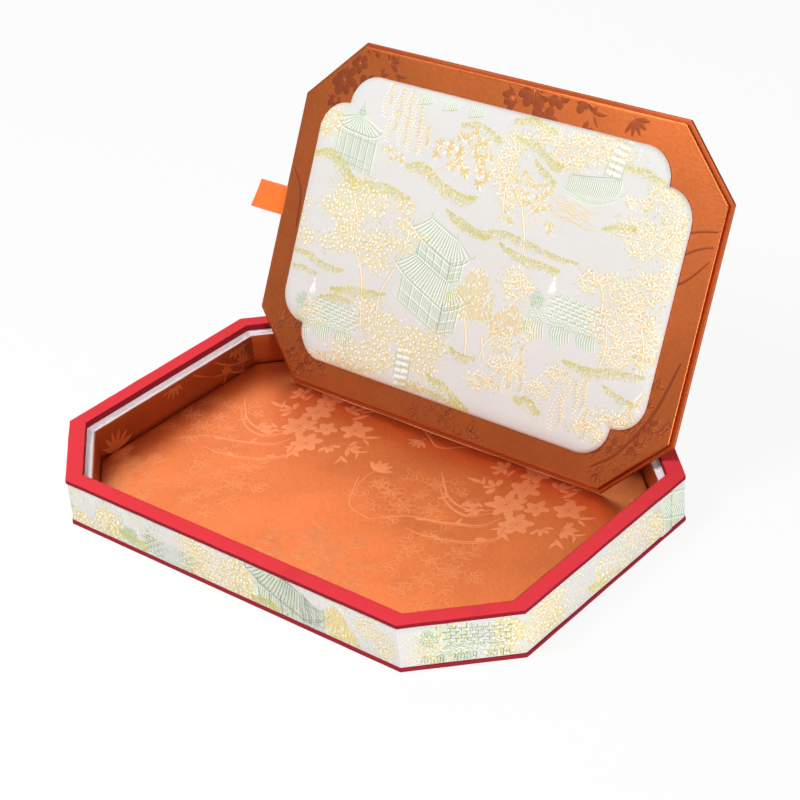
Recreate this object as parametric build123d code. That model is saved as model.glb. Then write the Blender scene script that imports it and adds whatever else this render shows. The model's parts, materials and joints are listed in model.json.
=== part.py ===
from build123d import *
import os
from math import cos, radians, sin, sqrt

# Eight-sided brocade presentation box, open: a double-walled tray of cloth-covered boards,
# and a loose padded lid that stands in the tray on its lower long edge and leans back.
# Millimetres. X runs along the long front, Y to the back, Z up from the surface it stands on.

# Outline of the tray. Every eight-sided piece follows it, moved inwards by its own inset.
length = 300.0
width = 215.0
corner_leg = 41.3
tray_height = 27.0

# Sheet goods
cloth_thick = 0.35
satin_thick = 0.3
brocade_thick = 0.5
skin_round_share = 1.4
fold_round = 1.0

# Base
base_board_thick = 1.6
base_turn_in = 22.0

# Double wall
brocade_inset = 0.6
outer_wall_thick = 2.0
inner_wall_thick = 2.0
brocade_lap = 9.0
brocade_lap_from_corner = 12.0
brocade_lap_thick = 0.3

# Rim, with the lip of its cloth that hangs over the inner edge
rim_width = 9.0
rim_board_thick = 1.7
rim_turn_in = 5.0
lip_drop = 1.2

# Ledge that carries the closed lid
ledge_width = 3.6
ledge_drop = 3.0
ledge_ring_thick = 2.0

# Copper liner of the side
liner_card_thick = 0.6
liner_rise = 0.35
liner_round_share = 0.8

# Padded floor. Shares of its height and of its shoulder give the crown.
floor_play = 0.2
floor_card_thick = 0.8
floor_thick = 1.9
floor_shoulder = 34.0
floor_crown_shares = [(0, 0), (0.55, 0), (0.7, 0.02), (0.88, 0.2), (0.97, 0.5), (1, 1)]

# Lid boards
lid_play = 2.5
lid_back_board_thick = 1.1
lid_front_board_thick = 1.4
lid_front_step = 2.4
lid_turn_in = 15.0

# Brocade panel on the lid. Each corner is two quarter-round lobes that meet in a notch.
panel_margin_at_ends = 15.8
panel_margin_at_sides = 14.3
panel_shift = 0.7
lobe_radius = 16.6
notch_radius = 0.8
panel_card_thick = 1.0
panel_thick = 4.2
panel_shoulder = 11.0
panel_turn_in = 12.0
panel_crown_shares = [(0, 0.03), (0.3, 0), (0.6, 0.04), (0.82, 0.15), (0.94, 0.45), (1, 1)]

# Ribbon between the lid boards
ribbon_width = 16.4
ribbon_thick = 0.6
ribbon_slot_play = 0.15
ribbon_glued = 24.0
ribbon_edge_play = 0.3
ribbon_short_reach = 18.6
ribbon_long_reach = 22.4

# How the lid stands in the tray
lean = 63.5
lid_foot_from_liner = 37.7
lid_shift = 0.9
rest_gap = 0.3

quarter_turn = 90

# Heights and insets that follow from the sizes above
base_top = base_board_thick + 2 * cloth_thick
rim_low = tray_height - rim_board_thick - 2 * cloth_thick
ledge_top = rim_low - ledge_drop
ledge_board_top = ledge_top - satin_thick
liner_top = ledge_top + liner_rise
outer_wall_inset = brocade_inset + brocade_thick
spacer_inset = outer_wall_inset + outer_wall_thick
rim_board_inner = rim_width - cloth_thick
spacer_inner = rim_board_inner - satin_thick
ledge_inner = rim_width + ledge_width
liner_inner = ledge_inner + liner_card_thick + satin_thick
floor_edge = liner_inner + floor_play
floor_card_top = base_top + floor_card_thick
floor_top = base_top + floor_thick

lid_back_inset = rim_width + lid_play
lid_front_inset = lid_back_inset + lid_front_step
lid_back_thick = lid_back_board_thick + 2 * satin_thick
lid_front_thick = lid_front_board_thick + 2 * satin_thick
lid_half_length = length / 2 - lid_back_inset
lid_half_width = width / 2 - lid_back_inset
panel_length = length - 2 * (lid_front_inset + panel_margin_at_ends)
panel_width = width - 2 * (lid_front_inset + panel_margin_at_sides)
panel_card_low = lid_front_thick + brocade_thick
panel_card_top = panel_card_low + panel_card_thick
ribbon_root = -lid_half_length - ribbon_edge_play

side_names = [
    "front_right_corner",
    "right",
    "back_right_corner",
    "back",
    "back_left_corner",
    "left",
    "front_left_corner",
    "front",
]


def octagon_points(inset):
    """Corners of the outline, anticlockwise from the right end of the front side."""
    half_length = length / 2 - inset
    half_width = width / 2 - inset
    leg = corner_leg - inset * (2 - sqrt(2))
    return [
        (half_length - leg, -half_width),
        (half_length, leg - half_width),
        (half_length, half_width - leg),
        (half_length - leg, half_width),
        (leg - half_length, half_width),
        (-half_length, half_width - leg),
        (-half_length, leg - half_width),
        (leg - half_length, -half_width),
    ]


def octagon(inset, rounding=0):
    face = Polygon(*octagon_points(inset), align=None)
    return fillet(face.vertices(), rounding) if rounding else face


def slab(inset, low, high, rounding=0):
    return Pos(0, 0, low) * extrude(octagon(inset, rounding), amount=high - low)


def ring(outside, inside, low, high, rounding=0):
    return slab(outside, low, high, rounding) - slab(inside, low, high)


def soften(solid, radius):
    """Round the edges of the top and bottom faces, as cloth rounds the edge of a board."""
    levels = solid.edges().group_by(Axis.Z)
    return fillet(levels[0] + levels[-1], radius)


def wrapped_board(inset, low, board_thick, skin, turn_in, open_top):
    """A board and its cloth, which covers one face and the edges and turns in on the other face."""
    high = low + board_thick + 2 * skin
    cloth = soften(slab(inset, low, high), skin * skin_round_share)
    board = slab(inset + skin, low + skin, high - skin)
    window_low = high - skin if open_top else low
    window = slab(inset + turn_in, window_low, window_low + skin)
    return board, cloth - board - window


def mitred_strips(outside, thick, low, high):
    """Eight wall strips, cut to the mitre at each corner of the outline."""
    outer = octagon_points(outside)
    inner = octagon_points(outside + thick)
    strips = {}
    for side, name in enumerate(side_names):
        after = (side + 1) % len(side_names)
        plan = Polygon(outer[side], outer[after], inner[after], inner[side], align=None)
        strips[name] = Pos(0, 0, low) * extrude(plan, amount=high - low)
    return strips


def wall_brocade():
    """Strip of brocade round the walls, with the lap where its two ends meet on the right side."""
    strip = ring(brocade_inset, outer_wall_inset, base_top, rim_low, fold_round)
    corner_x, corner_y = octagon_points(brocade_inset)[side_names.index("back_right_corner")]
    lap_end = corner_y - brocade_lap_from_corner
    overlap = Box(
        brocade_lap_thick,
        brocade_lap,
        rim_low - base_top,
        align=(Align.MIN, Align.MAX, Align.MIN),
    )
    return strip + Pos(corner_x, lap_end, base_top) * overlap


def rim():
    """Die-cut rim board and its cloth, whose lip hangs below the inner edge."""
    board = ring(cloth_thick, rim_board_inner, rim_low + cloth_thick, tray_height - cloth_thick)
    wrap = soften(ring(0, rim_width, rim_low, tray_height), cloth_thick * skin_round_share)
    lip_high = rim_low + rim_board_thick / 2
    lip = ring(rim_board_inner, rim_width, rim_low - lip_drop, lip_high)
    window = ring(rim_turn_in, rim_board_inner, rim_low, rim_low + cloth_thick)
    return board, wrap + lip - board - window


def ledge_satin():
    """White satin over the ledge and up the face of the spacer, behind the rim's lip."""
    upright = ring(spacer_inner, rim_board_inner, ledge_board_top, rim_low)
    return upright + ring(spacer_inner, ledge_inner, ledge_board_top, ledge_top)


def liner():
    """Card round the inside of the wall, and the satin over its face and top edge."""
    card_inner = ledge_inner + liner_card_thick
    card = ring(ledge_inner, card_inner, base_top, liner_top - satin_thick)
    cover = ring(ledge_inner, liner_inner, base_top, liner_top)
    top_edges = cover.edges().group_by(Axis.Z)[-1]
    return card, fillet(top_edges, satin_thick * liner_round_share) - card


def crowned(outline, levels):
    """Closed soft form through one outline drawn at rising heights, each with its own inset."""
    return loft([Pos(0, 0, height) * outline(inset) for height, inset in levels], ruled=True)


def crown_levels(edge, seat, thick, shoulder, shares):
    return [(seat + thick * rise, edge + shoulder * draw) for rise, draw in shares]


def filling_levels(levels, skin, start):
    """Heights and insets of the wadding under a skin, from the height where its card ends."""
    edge = min(inset for height, inset in levels) + skin
    inside = [(height - skin, inset + skin) for height, inset in levels]
    return [(start, edge)] + [level for level in inside if level[0] > start]


def floor_pad():
    """Card, crowned wadding and satin of the tray's floor."""
    levels = crown_levels(floor_edge, base_top, floor_thick, floor_shoulder, floor_crown_shares)
    card = slab(floor_edge + satin_thick, base_top, floor_card_top)
    wadding = crowned(octagon, filling_levels(levels, satin_thick, floor_card_top))
    return card, wadding, crowned(octagon, levels) - card - wadding


def scalloped(inset):
    """Panel outline, with each corner as a lobe, a rounded notch and a second lobe."""
    lobe = lobe_radius - inset
    notch = notch_radius + inset
    to_lobe = lobe_radius + notch_radius
    arcs = []
    for corner in range(4):
        turn = quarter_turn * corner
        ahead = Vector(1, 0).rotate(Axis.Z, turn)
        aside = Vector(0, 1).rotate(Axis.Z, turn)
        reach = (panel_length, panel_width)[corner % 2] / 2 - lobe_radius
        depth = (panel_width, panel_length)[corner % 2] / 2 - lobe_radius
        middle = ahead * reach + aside * depth
        arcs.append(CenterArc(middle - aside * to_lobe, lobe, turn, quarter_turn))
        arcs.append(CenterArc(middle, notch, turn - quarter_turn, -quarter_turn))
        arcs.append(CenterArc(middle - ahead * to_lobe, lobe, turn, quarter_turn))
    edges = []
    for arc, following in zip(arcs, arcs[1:] + arcs[:1]):
        edges.append(arc)
        if (arc @ 1 - following @ 0).length > notch_radius / 2:
            edges.append(Line(arc @ 1, following @ 0))
    return Pos(-panel_shift, 0, 0) * make_face(edges)


def panel():
    """Card, crowned wadding and brocade of the lid's scalloped panel."""
    levels = crown_levels(0, lid_front_thick, panel_thick, panel_shoulder, panel_crown_shares)
    card = Pos(0, 0, panel_card_low) * extrude(scalloped(brocade_thick), amount=panel_card_thick)
    wadding = crowned(scalloped, filling_levels(levels, brocade_thick, panel_card_top))
    opening = Box(
        panel_length - 2 * (lobe_radius + panel_turn_in),
        panel_width - 2 * (lobe_radius + panel_turn_in),
        brocade_thick,
        align=(Align.CENTER, Align.CENTER, Align.MIN),
    )
    window = Pos(-panel_shift, 0, lid_front_thick) * opening
    return card, wadding, crowned(scalloped, levels) - card - wadding - window


def ribbon_slot():
    """Space for the ribbon where the two boards' turned-in satin meets, open at the left edge."""
    slot = Box(
        lid_turn_in + lid_front_step,
        ribbon_width + 2 * ribbon_slot_play,
        ribbon_thick,
        align=(Align.MIN, Align.CENTER, Align.CENTER),
    )
    return Pos(-lid_half_length, 0, 0) * slot


def ribbon_tail():
    """Stretch of the ribbon that is glued between the boards, up to just outside the lid."""
    tail = Box(
        ribbon_edge_play + lid_front_step + ribbon_glued,
        ribbon_width,
        ribbon_thick,
        align=(Align.MIN, Align.CENTER, Align.CENTER),
    )
    return Pos(ribbon_root, 0, 0) * tail


def ribbon_tab():
    """Free end of the ribbon, cut a little slanted."""
    start = ribbon_root - ribbon_edge_play
    half = ribbon_width / 2
    plan = Polygon(
        (start, -half),
        (start, half),
        (-lid_half_length - ribbon_short_reach, half),
        (-lid_half_length - ribbon_long_reach, -half),
        align=None,
    )
    return Pos(0, 0, -ribbon_thick / 2) * extrude(plan, amount=ribbon_thick)


def lid_pieces():
    """The lid laid flat, with the plane between its two boards at height zero."""
    back_board, back_satin = wrapped_board(
        lid_back_inset, -lid_back_thick, lid_back_board_thick, satin_thick, lid_turn_in, True
    )
    front_board, front_satin = wrapped_board(
        lid_front_inset, 0, lid_front_board_thick, satin_thick, lid_turn_in, False
    )
    card, wadding, brocade = panel()
    return {
        "lid_back_board": back_board,
        "lid_back_satin": back_satin - ribbon_slot(),
        "lid_front_board": front_board,
        "lid_front_satin": front_satin - ribbon_slot(),
        "panel_card": card,
        "panel_wadding": wadding,
        "panel_brocade": brocade,
        "ribbon_tail": ribbon_tail(),
        "ribbon_tab": ribbon_tab(),
    }


def lid_place():
    """Stand the flat lid on its lower long edge, just clear of the floor pad, and lean it back."""
    edge_round = satin_thick * skin_round_share
    tip = edge_round * (sin(radians(lean)) + cos(radians(lean)) - 1)
    foot_y = width / 2 - liner_inner - lid_foot_from_liner
    foot_z = floor_top + rest_gap + lid_back_thick * cos(radians(lean)) - tip
    return Pos(lid_shift, foot_y, foot_z) * Rot(lean, 0, 0) * Pos(0, lid_half_width, 0)


def tray_pieces():
    base_board, base_cloth = wrapped_board(
        0, 0, base_board_thick, cloth_thick, base_turn_in, True
    )
    rim_board, rim_cloth = rim()
    liner_card, liner_satin = liner()
    floor_card, floor_wadding, floor_satin = floor_pad()
    pieces = {
        "base_board": base_board,
        "base_cloth": base_cloth,
        "wall_brocade": wall_brocade(),
        "ledge_ring": ring(
            spacer_inset, ledge_inner, ledge_board_top - ledge_ring_thick, ledge_board_top
        ),
        "rim_spacer": ring(spacer_inset, spacer_inner, ledge_board_top, rim_low),
        "ledge_satin": ledge_satin(),
        "rim_board": rim_board,
        "rim_cloth": rim_cloth,
        "liner_card": liner_card,
        "liner_satin": liner_satin,
        "floor_card": floor_card,
        "floor_wadding": floor_wadding,
        "floor_satin": floor_satin,
    }
    outer = mitred_strips(outer_wall_inset, outer_wall_thick, base_top, rim_low)
    inner = mitred_strips(
        ledge_inner - inner_wall_thick,
        inner_wall_thick,
        base_top,
        ledge_board_top - ledge_ring_thick,
    )
    for name in side_names:
        pieces[f"outer_wall_{name}"] = outer[name]
        pieces[f"inner_wall_{name}"] = inner[name]
    return pieces


def main():
    os.makedirs("parts", exist_ok=True)
    pieces = tray_pieces()
    place = lid_place()
    for name, piece in lid_pieces().items():
        pieces[name] = place * piece
    for name, piece in pieces.items():
        export_step(piece, f"parts/{name}.step")


main()
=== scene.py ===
"""Looks of an eight-sided presentation box: cloths, satins, padding and woven patterns on the packed frame.

All working sizes are millimetres; they become metres when a mesh is made.
"""
import json
import math

import bmesh
import bpy
import numpy as np
from bpy.props import FloatProperty, FloatVectorProperty, PointerProperty
from bpy.types import Operator, Panel, PropertyGroup
from mathutils import Matrix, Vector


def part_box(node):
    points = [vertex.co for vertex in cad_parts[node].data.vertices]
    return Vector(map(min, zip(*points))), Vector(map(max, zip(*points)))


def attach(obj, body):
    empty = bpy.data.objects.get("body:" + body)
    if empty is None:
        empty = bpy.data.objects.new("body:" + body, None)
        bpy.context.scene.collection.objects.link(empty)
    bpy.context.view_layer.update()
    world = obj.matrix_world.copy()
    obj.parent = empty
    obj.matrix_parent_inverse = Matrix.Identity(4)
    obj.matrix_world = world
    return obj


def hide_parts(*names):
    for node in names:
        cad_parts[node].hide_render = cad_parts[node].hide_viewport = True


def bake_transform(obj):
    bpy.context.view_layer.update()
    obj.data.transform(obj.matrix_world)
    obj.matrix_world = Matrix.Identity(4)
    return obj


bl_info = {
    "name": "Brocade presentation box",
    "version": (1, 0, 0),
    "blender": (4, 5, 0),
    "location": "View3D > Sidebar > Brocade box",
    "description": "Dresses the frame of an eight-sided box in book cloth, satin, brocade and padding",
    "category": "Object",
}

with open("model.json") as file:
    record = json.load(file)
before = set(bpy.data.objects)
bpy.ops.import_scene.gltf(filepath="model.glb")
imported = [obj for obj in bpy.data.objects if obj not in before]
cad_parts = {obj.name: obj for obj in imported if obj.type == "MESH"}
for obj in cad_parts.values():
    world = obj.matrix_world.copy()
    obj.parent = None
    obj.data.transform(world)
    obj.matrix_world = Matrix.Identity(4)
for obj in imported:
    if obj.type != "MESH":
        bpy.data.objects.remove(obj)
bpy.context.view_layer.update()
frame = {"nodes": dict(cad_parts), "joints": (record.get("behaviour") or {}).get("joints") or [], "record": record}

MM = 0.001
TRAY, LID, RIBBON = "tray", "lid", "ribbon"


def span(node):
    """Lowest and highest corner of a CAD node, in millimetres."""
    low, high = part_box(node)
    return np.array(low) / MM, np.array(high) / MM


# Outline of the tray, and the levels of its layers. An inset is measured in from the rim's outer face.
LENGTH = span("rim_cloth")[1][0] * 2
WIDTH = span("rim_cloth")[1][1] * 2
CORNER_LEG = 41.3
TRAY_TOP = span("rim_cloth")[1][2]
LIP_LOW = span("rim_cloth")[0][2]
WALL_LOW, WALL_HIGH = span("wall_brocade")[0][2], span("wall_brocade")[1][2]
WALL_INSET, WALL_THICK = 0.6, 0.5
WALL_LAP, LAP_FROM_CORNER = 9.0, 12.0
LAP_STEP = span("wall_brocade")[1][0] - (LENGTH / 2 - WALL_INSET)
BOARD_CLOTH = 0.35
BASE_TURN_IN = 22.0
SATIN = 0.3
RIM_WIDTH = 9.0
STRIP_INSET = LENGTH / 2 - span("ledge_satin")[1][0] + SATIN
LEDGE_TOP = span("ledge_satin")[0][2] + SATIN
LINER_TOP = span("liner_satin")[1][2]
LINER_OUT = LENGTH / 2 - span("liner_satin")[1][0]
LINER_IN = 13.5
LINER_BACK_TOP = 20.5
FLOOR_INSET = LENGTH / 2 - span("floor_satin")[1][0]
FLOOR_LOW, FLOOR_HIGH = span("floor_satin")[0][2], span("floor_satin")[1][2]

# The lid's own frame: across it, up along it, and out of its front, from the point between its two boards.
HINGE = next(j for j in frame["joints"] if j["name"] == "ribbon_flex")
LID_UP = np.array(HINGE["axis"])
LID_ACROSS = np.array((1.0, 0.0, 0.0))
LID_OUT = np.cross(LID_ACROSS, LID_UP)
LID_MIDDLE = np.array(HINGE["pos_m"]) / MM
LID_MIDDLE[0] = (span("lid_back_satin")[0][0] + span("lid_back_satin")[1][0]) / 2
BACK_INSET = LENGTH / 2 - (span("lid_back_satin")[1][0] - LID_MIDDLE[0])
FRONT_INSET = LENGTH / 2 - (span("lid_front_satin")[1][0] - LID_MIDDLE[0])
BACK_LOW, FRONT_HIGH = -1.7, 2.0
GLUE_GAP = 0.02

# The padded panel on the lid's front.
PANEL_LENGTH = span("panel_brocade")[1][0] - span("panel_brocade")[0][0]
PANEL_WIDTH = 158.6
PANEL_SHIFT = (span("panel_brocade")[1][0] + span("panel_brocade")[0][0]) / 2 - LID_MIDDLE[0]
LOBE, NOTCH = 16.6, 0.8
PANEL_THICK = 4.2

# A thread's edges lie sunk in the ground and its crown stands proud of them by this much more than its
# relief.
THREAD_SUNK, THREAD_CROWN = 0.03, 0.05
# Points on each rounded corner of an eight-sided ring.
ARC = 5


def srgb(code):
    """A written sRGB hex colour as the linear values that shaders and colour properties hold."""
    part = np.array([int(code[i:i + 2], 16) for i in (1, 3, 5)]) / 255
    return tuple(np.where(part <= 0.04045, part / 12.92, ((part + 0.055) / 1.055) ** 2.4).tolist())


def colour(label, text, code):
    """A colour property whose default is a written hex colour."""
    return FloatVectorProperty(name=label, description=text, default=srgb(code), size=3, min=0, max=1,
                               subtype="COLOR")


def length(label, text, mm):
    """A length property whose default is given in millimetres."""
    return FloatProperty(name=label, description=text, default=mm * MM, min=0, unit="LENGTH", precision=5)


def power(label, text, watts):
    """A lamp's power as a property."""
    return FloatProperty(name=label, description=text, default=watts, min=0, unit="POWER")


class BrocadeBoxSizes(PropertyGroup):
    """Sizes of the soft and woven parts."""
    panel_side: length("Panel side", "Height of the panel's side before its padding swells", 1.1)
    panel_shoulder: length("Panel shoulder", "Width over which the panel's padding rises", 9.5)
    floor_side: length("Floor side", "Height of the floor pad's edge", 1.6)
    floor_shoulder: length("Floor shoulder", "Width over which the floor's padding rises", 5.0)
    floor_sway: length("Floor sway", "How far the floor's satin lies off a smooth crown", 0.12)
    thread_relief: length("Thread relief", "How far a brocade thread stands above the ground", 0.09)
    figure_relief: length("Figure relief", "How far a satin figure stands above the ground", 0.07)
    pucker: length("Ledge pucker", "Depth of the wrinkles in the white satin ledge", 0.26)


class BrocadeBoxColours(PropertyGroup):
    """Colours of the cloths and threads."""
    board: colour("Greyboard", "Hidden grey board", "#8C857B")
    base: colour("Base cloth", "Dark red cloth under the box", "#981C2A")
    rim: colour("Rim cloth", "Red cloth on the rim", "#E43842")
    # Painted shade: a darker red that stands in for the shade on the rim cloth's folded edges.
    rim_edge_shade: colour("Rim edge", "The rim cloth where it folds over its board", "#8C1B28")
    ivory: colour("Brocade ground", "Ground of the brocade", "#DDDCD9")
    gold: colour("Gold thread", "Leaves, trunks and blossom", "#E6CA82")
    straw: colour("Straw thread", "Pale gold behind the leaves", "#E6E0B4")
    olive: colour("Olive thread", "Banks and hills", "#D6CE7C")
    green: colour("Green thread", "Towers and bridges", "#ABC49B")
    mist: colour("Mist thread", "Pale green behind the towers", "#DCE5D2")
    white: colour("White thread", "Blossom and figures", "#FDFBF6")
    # Near white with a faint pink: partly the satin's own colour and partly a painted reflection of the red rim
    # above it.
    ledge: colour("White satin", "Satin on the ledge", "#FBEEF4")
    copper: colour("Copper satin", "Satin of the lining and lid", "#D4713C")
    # Painted shade: the copper satin painted darker for the inner walls, which lie in shade; the lid's back shares
    # it.
    liner: colour("Liner", "Satin on the inner walls, its floats turned from the light", "#B4572C")
    # Painted sheen: the figure painted lighter where it catches the light, on the floor and the lid's back.
    figure_light: colour("Light figure", "Satin figure that catches the light", "#EA9160")
    # Painted shade: the same figure painted darker where it turns from the light, on the lid's front and back.
    figure_dark: colour("Dark figure", "Satin figure turned from the light", "#A04E2C")
    # Painted shade: the same figure painted a little darker than the ground where its sheen falls away, at the
    # floor's front and on the inner walls.
    figure_soft: colour("Soft figure", "Satin figure only a little darker than the ground", "#DA7C48")
    figure_line: colour("Line figure", "Single floats on the ground", "#E68E58")
    ribbon: colour("Ribbon", "Orange satin ribbon", "#F9761F")


class BrocadeBoxStage(PropertyGroup):
    """Light levels of the studio."""
    key: power("Key", "Power of the lamp above the front", 10.5)
    fill: power("Fill", "Power of the small low lamp at the right", 7.5)
    top: power("Top", "Power of the large lamp far above and behind, at the left", 24)
    sky: FloatProperty(name="Surroundings", description="Brightness of the white room", default=0.3, min=0)


def make_piece(name, points, faces, uv=None, weld=False):
    """A mesh object from points in millimetres, four-cornered faces, and a UV in millimetres for each
    face corner."""
    mesh = bpy.data.meshes.new(name)
    mesh.from_pydata((points * MM).tolist(), [], faces.tolist())
    if uv is not None:
        mesh.uv_layers.new(name="cloth").data.foreach_set("uv", (uv * MM).astype(np.float32).ravel())
    mesh.polygons.foreach_set("use_smooth", np.ones(len(faces), bool))
    if weld:
        work = bmesh.new()
        work.from_mesh(mesh)
        bmesh.ops.remove_doubles(work, verts=work.verts, dist=1e-6)
        bmesh.ops.recalc_face_normals(work, faces=work.faces)
        work.to_mesh(mesh)
        work.free()
    mesh.update()
    piece = bpy.data.objects.new(name, mesh)
    bpy.context.scene.collection.objects.link(piece)
    return piece


def ways(turn):
    """Unit vectors in directions given in degrees, anticlockwise from the right."""
    angle = np.radians(turn)
    return np.stack((np.cos(angle), np.sin(angle)), -1)


def closed_run(ring):
    """A ring with its first point repeated at its end, and how far along it each of these points lies."""
    closed = np.concatenate((ring, ring[:1]))
    return closed, np.concatenate(([0], np.cumsum(np.linalg.norm(np.diff(closed, axis=0), axis=1))))


def grid_piece(name, points, planar=None, closed_rows=False):
    """Quads between neighbours of a (rows, columns, 3) array whose columns close on themselves.

    Its UVs run along the columns and down the rows, as lengths on the surface, or are the planar pair given.
    """
    rows, columns = points.shape[:2]
    row = np.arange(rows if closed_rows else rows - 1)[:, None]
    column = np.arange(columns)[None, :]
    next_row, next_column = (row + 1) % rows, (column + 1) % columns
    corner = [(row, column), (row, next_column), (next_row, next_column), (next_row, column)]
    faces = np.stack([r * columns + c for r, c in corner], -1).reshape(-1, 4)
    if planar is None:
        ring = points[rows // 2]
        along = closed_run(ring)[1]
        step = np.linalg.norm(np.roll(points, -1, 0) - points, axis=2).mean(1)
        down = np.concatenate(([0], np.cumsum(step)))
        place = [(row, column), (row, column + 1), (row + 1, column + 1), (row + 1, column)]
        spots = [np.stack(np.broadcast_arrays(along[c], down[r]), -1) for r, c in place]
        uv = np.stack(spots, 2).reshape(-1, 2)
    else:
        uv = planar.reshape(-1, 2)[faces.ravel()]
    return make_piece(name, points.reshape(-1, 3), faces, uv, weld=True)


def octagon_sizes(inset):
    """Half the outline's length and width, and the leg of a cut corner. Each side moves in by the inset, so
    the leg shortens by (2 - root 2) insets."""
    return LENGTH / 2 - inset, WIDTH / 2 - inset, CORNER_LEG - inset * (2 - math.sqrt(2))


def octagon_corners(inset):
    """The outline's eight corners, anticlockwise from the right end of the front."""
    a, b, c = octagon_sizes(inset)
    return np.array([(a - c, -b), (a, c - b), (a, b - c), (a - c, b),
                     (c - a, b), (-a, b - c), (-a, c - b), (c - a, -b)])


def octagon_ring(inset, turn, side=24):
    """The outline as points: each corner is an arc of the given radius about the corner moved in by it,
    and each side is divided evenly between two arcs."""
    arcs = ways(-90 + 45 * np.arange(8)[:, None] + np.linspace(0, 45, ARC))
    bends = octagon_corners(inset + turn)[:, None] + turn * arcs
    start, end = bends[:, -1:], np.roll(bends[:, :1], -1, axis=0)
    sides = start + (end - start) * (np.arange(1, side) / side)[None, :, None]
    return np.concatenate((bends, sides), axis=1).reshape(-1, 2)


def side_runs(side, along):
    """Where each of an eight-sided ring's straight sides starts and ends, as distances along it."""
    first = np.arange(8) * (ARC + side - 1) + ARC - 1
    return along[first], along[first + side - 1]


def octagon_depth(points, inset):
    """Distance in from the outline: the least of those from the long side, the short side and the cut
    corner."""
    a, b, c = octagon_sizes(inset)
    x, y = np.abs(points).T
    return np.minimum(np.minimum(a - x, b - y), (a + b - c - x - y) / math.sqrt(2))


def quarter(inset, level, radius, start, sweep=-90, steps=5):
    """Points (inset, level) on an arc about a centre; angle 0 points outwards and 90 up."""
    return (inset, level) + ways(start + np.linspace(0, sweep, steps)) * (-radius, radius)


def band(name, profile, turn, side=24, sway=None):
    """A closed profile of (inset, level) pairs carried round the octagon.

    sway, if given, is a function of the place along the ring, as an angle, and of the profile row. It
    returns millimetres inwards and up, for the small waves that glued cloth has.
    """
    profile = np.asarray(profile, float)
    rings = np.stack([octagon_ring(inset, turn, side=side) for inset, _ in profile])
    level = np.repeat(profile[:, 1:2], rings.shape[1], axis=1)
    if sway is not None:
        along = closed_run(octagon_ring(profile[:, 0].mean(), turn, side=side))[1]
        angle = along[None, :-1] / along[-1] * 2 * math.pi
        inwards, up = sway(angle, np.arange(len(profile))[:, None])
        # The way that a point moves for each millimetre of inset is the same at every inset.
        direction = octagon_ring(10, turn, side=side) - octagon_ring(9, turn, side=side)
        rings = rings + direction[None] * np.broadcast_to(inwards, level.shape)[..., None]
        level = level + up
    return grid_piece(name, np.concatenate((rings, level[..., None]), -1), closed_rows=True)


def waves(angle, counts, seed):
    """A sum of sines with whole numbers of waves round the ring, so that it closes, each of its own
    phase."""
    phase = np.random.default_rng(seed).uniform(0, 2 * math.pi, len(counts))
    total = sum(np.sin(angle * count + shift) for count, shift in zip(counts, phase))
    return total / math.sqrt(len(counts))


def scalloped_ring(arc=14, notch=4, side=40):
    """The panel's outline: straight sides between corners made of two quarter rounds that meet in a
    small notch."""
    parts = []
    half = (PANEL_LENGTH / 2 - LOBE, PANEL_WIDTH / 2 - LOBE)
    step = LOBE + NOTCH
    for k in range(4):
        turn = 90 * k
        ahead, aside = ways(turn), ways(turn + 90)
        middle = ahead * half[k % 2] + aside * half[1 - k % 2]
        for centre, radius, start, sweep, count in (
            (middle - aside * step, LOBE, turn, 90, arc),
            (middle, NOTCH, turn - 90, -90, notch),
            (middle - ahead * step, LOBE, turn, 90, arc),
        ):
            parts.append(centre + radius * ways(start + np.linspace(0, sweep, count)))
        first = parts[-1][-1]
        next_middle = aside * half[1 - k % 2] - ahead * half[k % 2]
        last = next_middle + ahead * step + aside * LOBE
        parts.append(first + (last - first) * (np.arange(1, side) / side)[:, None])
    ring = np.concatenate(parts)
    keep = np.linalg.norm(ring - np.roll(ring, 1, 0), axis=1) > 1e-6
    return ring[keep] + (PANEL_SHIFT, 0)


def depth_inside(points, ring):
    """Distance from each point to the nearest edge of a closed outline, worked in blocks to spare memory."""
    start, edge = ring, np.roll(ring, -1, 0) - ring
    square = (edge ** 2).sum(1)
    result = []
    for block in np.array_split(points, max(1, len(points) // 6000)):
        offset = block[:, None] - start[None]
        share = np.clip((offset * edge).sum(-1) / square, 0, 1)
        result.append(np.sqrt(((offset - share[..., None] * edge) ** 2).sum(-1).min(1)))
    return np.concatenate(result)


def towards_middle(ring, shares, centre_x=0.0):
    """The outline drawn in towards the line along its middle: share 0 is the outline and 1 is that line."""
    reach = (ring[:, 0].max() - ring[:, 0].min() - ring[:, 1].max() + ring[:, 1].min()) / 2
    spine = np.stack((np.clip(ring[:, 0] - centre_x, -reach, reach) + centre_x, np.zeros(len(ring))), -1)
    shares = np.asarray(shares)[:, None, None]
    return ring[None] * (1 - shares) + spine[None] * shares


# How far in the rings of a pad's top lie: close together over its shoulder, and wider apart within.
TOP_SHARES = np.concatenate((np.linspace(0, 0.2, 21)[1:], np.linspace(0.2, 1, 19)[1:]))


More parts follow.
